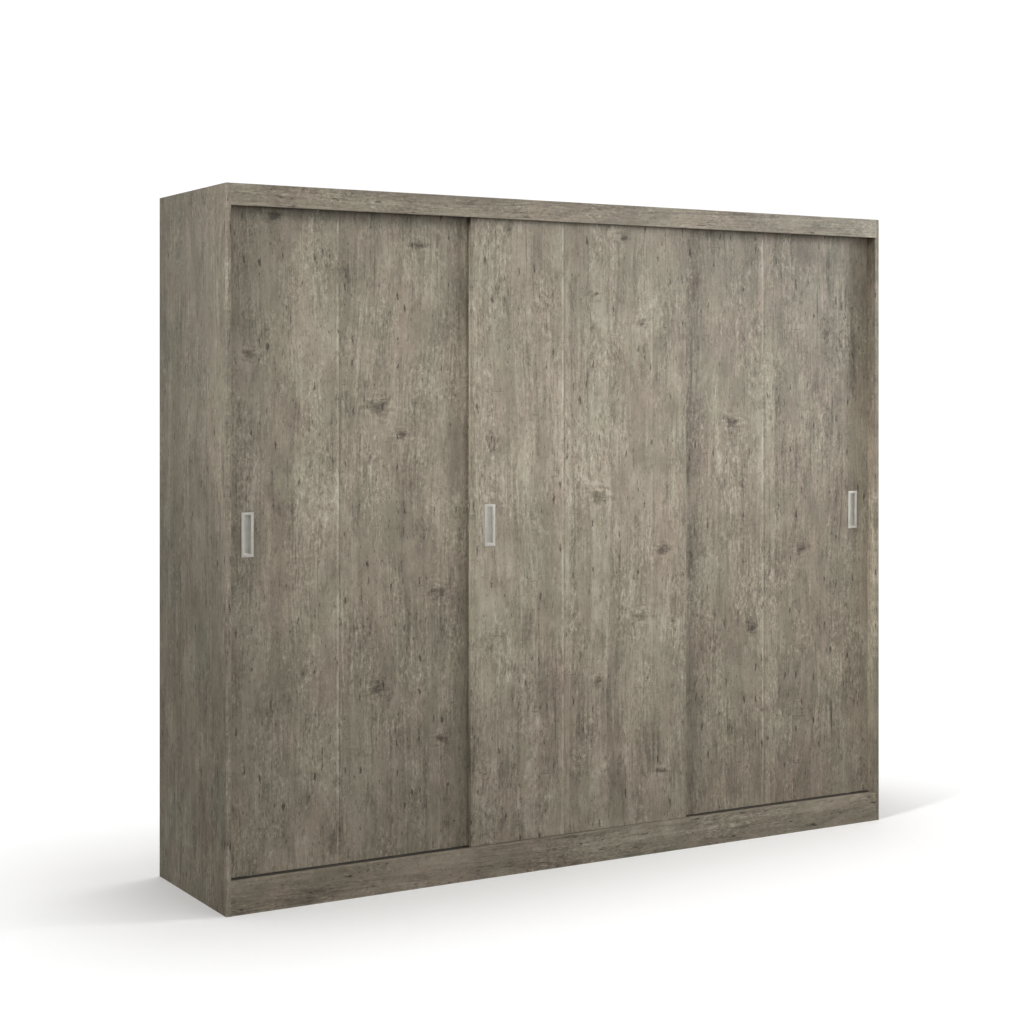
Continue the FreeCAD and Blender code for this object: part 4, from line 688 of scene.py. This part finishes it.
def dress_fittings():
    for index, bay in enumerate(("left", "centre", "right")):
        hardboard(f"back_{bay}", 3.0 + 4.0 * index)
    nylon_white = plastic("nylon_white", (0.72, 0.71, 0.66), 0.42)
    nylon_grey = plastic("nylon_grey", (0.16, 0.16, 0.16), 0.5)
    steel = metal("zinc_plated_steel", (0.60, 0.62, 0.64), 0.34)
    beech = raw_beech()
    finishes = {
        "top_track": metal("anodised_aluminium", (0.72, 0.72, 0.71), 0.34, brushed=0),
        "bottom_track": plastic("track_plastic", (0.055, 0.050, 0.042), 0.5),
        "track_stops": plastic("rubber", (0.022, 0.022, 0.022), 0.72, 1600.0),
        "hanging_rails": metal("chrome_tube", (0.82, 0.82, 0.83), 0.10, brushed=0,
                               brush_depth=0.00001),
        "rail_sockets": metal("cast_nickel", (0.62, 0.60, 0.57), 0.32),
        "dowels": beech,
        "cam_bolts": steel,
        "cam_locks": metal("die_cast_zinc", (0.50, 0.51, 0.52), 0.42, tarnish=0.1),
        "shelf_pins": steel,
        "back_nails": steel,
        "track_screws": steel,
    }
    for side in DOORS:
        finishes[f"door_{side}_roller_housings"] = nylon_grey
        finishes[f"door_{side}_guide_housings"] = nylon_grey
        finishes[f"door_{side}_axles"] = steel
        finishes[f"door_{side}_screws"] = steel
        for letter in "ab":
            finishes[f"door_{side}_wheel_{letter}"] = nylon_white
            finishes[f"door_{side}_guide_bolt_{letter}"] = nylon_white
    for node, material in finishes.items():
        set_material(node, material)


# ---------------------------------------------------------------- flush pulls

RIM = 9.0 * MM           # width of the flat rim round the cup
LIP = 1.2 * MM           # how far the rim stands proud of the door
WALL = 1.0 * MM
SOFT_EDGE = 0.45 * MM    # rounding of the rim's edges
CUP_FILLET = 2.2 * MM    # rounding between the cup's walls and floor
OUTER_CORNER, INNER_CORNER = 1.6 * MM, 1.2 * MM


def rounded_ring(bm, low, high, inset, y, radius, steps=5):
    """Ring of vertices on a rectangle with rounded corners, all at one depth."""
    left, right = low.x + inset, high.x - inset
    bottom, top = low.z + inset, high.z - inset
    centres = ((right - radius, top - radius, 0.0), (left + radius, top - radius, 0.5),
               (left + radius, bottom + radius, 1.0), (right - radius, bottom + radius, 1.5))
    ring = []
    for x, z, start in centres:
        for step in range(steps + 1):
            angle = math.pi * (start + 0.5 * step / steps)
            place = (x + radius * math.cos(angle), y, z + radius * math.sin(angle))
            ring.append(bm.verts.new(place))
    return ring


def join_rings(bm, first, second):
    count = len(first)
    for index in range(count):
        after = (index + 1) % count
        bm.faces.new((first[index], first[after], second[after], second[index]))


def quarter_turn(steps):
    """Angles of a quarter turn after its first, the last being a right angle."""
    return [0.5 * math.pi * step / steps for step in range(1, steps + 1)]


def flush_pull(side, material):
    """Pressed metal pull: softly rounded rim, drawn cup with a rounded floor, and hidden back."""
    node = f"door_{side}_handle"
    low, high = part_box(node)
    front, back = low.y, high.y
    soft, deep = SOFT_EDGE, CUP_FILLET
    profile = [(RIM - WALL, front + LIP), (0.0, front + LIP), (0.0, front + soft)]
    profile += [(soft * (1.0 - math.cos(a)), front + soft * (1.0 - math.sin(a)))
                for a in quarter_turn(4)]
    profile += [(RIM - soft, front)]
    profile += [(RIM - soft + soft * math.sin(a), front + soft * (1.0 - math.cos(a)))
                for a in quarter_turn(4)]
    floor = back - WALL
    profile += [(RIM, floor - deep)]
    profile += [(RIM + deep * (1.0 - math.cos(a)), floor - deep + deep * math.sin(a))
                for a in quarter_turn(5)]
    bm = bmesh.new()
    rings = []
    for inset, y in profile:
        radius = OUTER_CORNER if inset < 0.5 * RIM else INNER_CORNER
        rings.append(rounded_ring(bm, low, high, inset, y, radius))
    for first, second in zip(rings, rings[1:]):
        join_rings(bm, first, second)
    bm.faces.new(rings[-1])
    outside = [rounded_ring(bm, low, high, RIM - WALL, y, INNER_CORNER)
               for y in (front + LIP, back)]
    join_rings(bm, *outside)
    bm.faces.new(outside[1])
    bmesh.ops.remove_doubles(bm, verts=bm.verts, dist=1e-6)
    bmesh.ops.recalc_face_normals(bm, faces=bm.faces)
    mesh = bpy.data.meshes.new(f"flush_pull_{side}")
    bm.to_mesh(mesh)
    bm.free()
    mesh.shade_smooth()
    mesh.materials.append(material)
    pull = bpy.data.objects.new(f"flush_pull_{side}", mesh)
    bpy.context.scene.collection.objects.link(pull)
    weighted = pull.modifiers.new("weighted_normals", "WEIGHTED_NORMAL")
    weighted.keep_sharp = True
    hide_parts(node)
    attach(pull, f"door_{side}")


def make_pulls():
    satin = metal("satin_nickel", (0.72, 0.70, 0.65), 0.38, brushed=2, brush_depth=0.00002)
    for side in DOORS:
        flush_pull(side, satin)


# ---------------------------------------------------------------- stage, light, camera

FLOOR_REACH = 60.0
FLOOR_SEEN = rgb(0.95, 0.95, 0.95)
FLOOR_BOUNCE = rgb(0.16, 0.16, 0.155)      # what the floor throws back at the wardrobe
FLOOR_FADE = (0.10, 1.0)                   # metres from the wardrobe over which it turns white
BACKDROP_STRENGTH = 1.05                   # just over white
WORLD_LIGHT, WORLD_STRENGTH = rgb(1.0, 0.995, 0.985), 0.71

# Lights as (name, place, target, size, power, spread in degrees). Two gridded softboxes rake the
# doors from the sides, and open ones fill them.
LIGHTS = (
    ("left_beam", (-5.2, -2.0, 2.9), (0.9, -0.25, 0.98), (0.9, 1.2), 6.8, 18.0),
    ("right_beam", (6.2, -2.7, 3.0), (-0.2, -0.25, 1.4), (1.0, 1.2), 5.9, 24.0),
    ("right_softbox", (5.4, -2.5, 2.2), (0.6, -0.25, 1.5), (2.8, 1.8), 104.0, 180.0),
    ("left_softbox", (-3.6, -1.6, 3.4), (-1.0, 0.0, 1.6), (1.2, 1.0), 24.0, 180.0),
    ("front_softbox", (0.55, -2.65, 2.05), (0.45, -0.25, 1.5), (2.6, 0.9), 11.5, 180.0),
    ("overhead", (0.0, 0.42, 5.4), (0.0, 0.42, 0.0), (2.3, 1.35), 75.0, 180.0),
)

CAMERA_FROM_CORNER = (-2.104, -5.162)      # from the wardrobe's front left corner, metres
EYE_HEIGHT = 1.516
CAMERA_HEADING = math.radians(30.6)        # turned right from straight at the front
SENSOR_WIDTH, FOCAL_LENGTH = 36.0, 67.86   # millimetres
FRAME_SHIFT = -0.1223                      # vertical shift that keeps upright edges upright
CLIP_RANGE = (0.05, 200.0)


def camera_only(graph, seen, other):
    """Shader that differs between what the camera sees and what lights the object."""
    path = graph.add("ShaderNodeLightPath")
    mixer = graph.add("ShaderNodeMixShader")
    graph.put(mixer.inputs[0], path.outputs["Is Camera Ray"])
    graph.put(mixer.inputs[1], other)
    graph.put(mixer.inputs[2], seen)
    return mixer.outputs[0]


def make_floor():
    """Pale floor that fades to plain white away from the wardrobe, and throws back little light."""
    mesh = bpy.data.meshes.new("floor")
    signs = ((-1.0, -1.0), (1.0, -1.0), (1.0, 1.0), (-1.0, 1.0))
    corners = [(FLOOR_REACH * x, FLOOR_REACH * y, 0.0) for x, y in signs]
    mesh.from_pydata(corners, [], [(0, 1, 2, 3)])
    floor = bpy.data.objects.new("floor", mesh)
    bpy.context.scene.collection.objects.link(floor)
    material = bpy.data.materials.new("studio_floor")
    material.use_nodes = True
    material.node_tree.nodes.clear()
    graph = Graph(material.node_tree)
    near = graph.add("ShaderNodeBsdfDiffuse")
    near.inputs["Color"].default_value = FLOOR_SEEN
    far = graph.add("ShaderNodeEmission")
    far.inputs["Strength"].default_value = BACKDROP_STRENGTH
    x, y, _ = object_axes(graph)
    out_x = graph.math("MAXIMUM", graph.less(graph.math("ABSOLUTE", x), CAD_HIGH.x), 0.0)
    out_y = graph.math("MAXIMUM", graph.less(graph.math("ABSOLUTE", y), CAD_HIGH.y), 0.0)
    distance = graph.math("SQRT", graph.sum(graph.times(out_x, out_x), graph.times(out_y, out_y)))
    blend = graph.add("ShaderNodeMixShader")
    graph.put(blend.inputs[0], graph.band(distance, *FLOOR_FADE))
    graph.put(blend.inputs[1], near.outputs[0])
    graph.put(blend.inputs[2], far.outputs[0])
    dim = graph.add("ShaderNodeBsdfDiffuse")
    dim.inputs["Color"].default_value = FLOOR_BOUNCE
    output = graph.add("ShaderNodeOutputMaterial")
    graph.put(output.inputs["Surface"], camera_only(graph, blend.outputs[0], dim.outputs[0]))
    mesh.materials.append(material)


def make_world():
    """White backdrop, with its own softer light on the object."""
    world = bpy.data.worlds.new("studio")
    bpy.context.scene.world = world
    world.use_nodes = True
    world.node_tree.nodes.clear()
    graph = Graph(world.node_tree)
    seen = graph.add("ShaderNodeBackground")
    seen.inputs["Color"].default_value = rgb(1.0, 1.0, 1.0)
    seen.inputs["Strength"].default_value = BACKDROP_STRENGTH
    light = graph.add("ShaderNodeBackground")
    light.inputs["Color"].default_value = WORLD_LIGHT
    light.inputs["Strength"].default_value = WORLD_STRENGTH
    output = graph.add("ShaderNodeOutputWorld")
    graph.put(output.inputs["Surface"], camera_only(graph, seen.outputs[0], light.outputs[0]))


def area_light(name, place, target, size, power, spread):
    data = bpy.data.lights.new(name, "AREA")
    data.shape = "RECTANGLE"
    data.size, data.size_y = size
    data.energy = power
    data.spread = math.radians(spread)
    light = bpy.data.objects.new(name, data)
    light.location = place
    light.rotation_mode = "QUATERNION"
    light.rotation_quaternion = (Vector(target) - Vector(place)).to_track_quat("-Z", "Y")
    bpy.context.scene.collection.objects.link(light)


def make_camera():
    """Level camera at eye height, to the left of the wardrobe and turned towards it."""
    data = bpy.data.cameras.new("camera")
    data.sensor_width = SENSOR_WIDTH
    data.lens = FOCAL_LENGTH
    data.shift_y = FRAME_SHIFT
    data.clip_start, data.clip_end = CLIP_RANGE
    camera = bpy.data.objects.new("camera", data)
    right, back = CAMERA_FROM_CORNER
    camera.location = (CAD_LOW.x + right, CAD_LOW.y + back, EYE_HEIGHT)
    forward = Vector((math.sin(CAMERA_HEADING), math.cos(CAMERA_HEADING), 0.0))
    camera.rotation_mode = "QUATERNION"
    camera.rotation_quaternion = forward.to_track_quat("-Z", "Y")
    bpy.context.scene.collection.objects.link(camera)
    bpy.context.scene.camera = camera


make_camera()
dress_boards()
dress_fittings()
make_pulls()
make_floor()
make_world()
for light in LIGHTS:
    area_light(*light)
bpy.context.scene.view_settings.view_transform = "Standard"
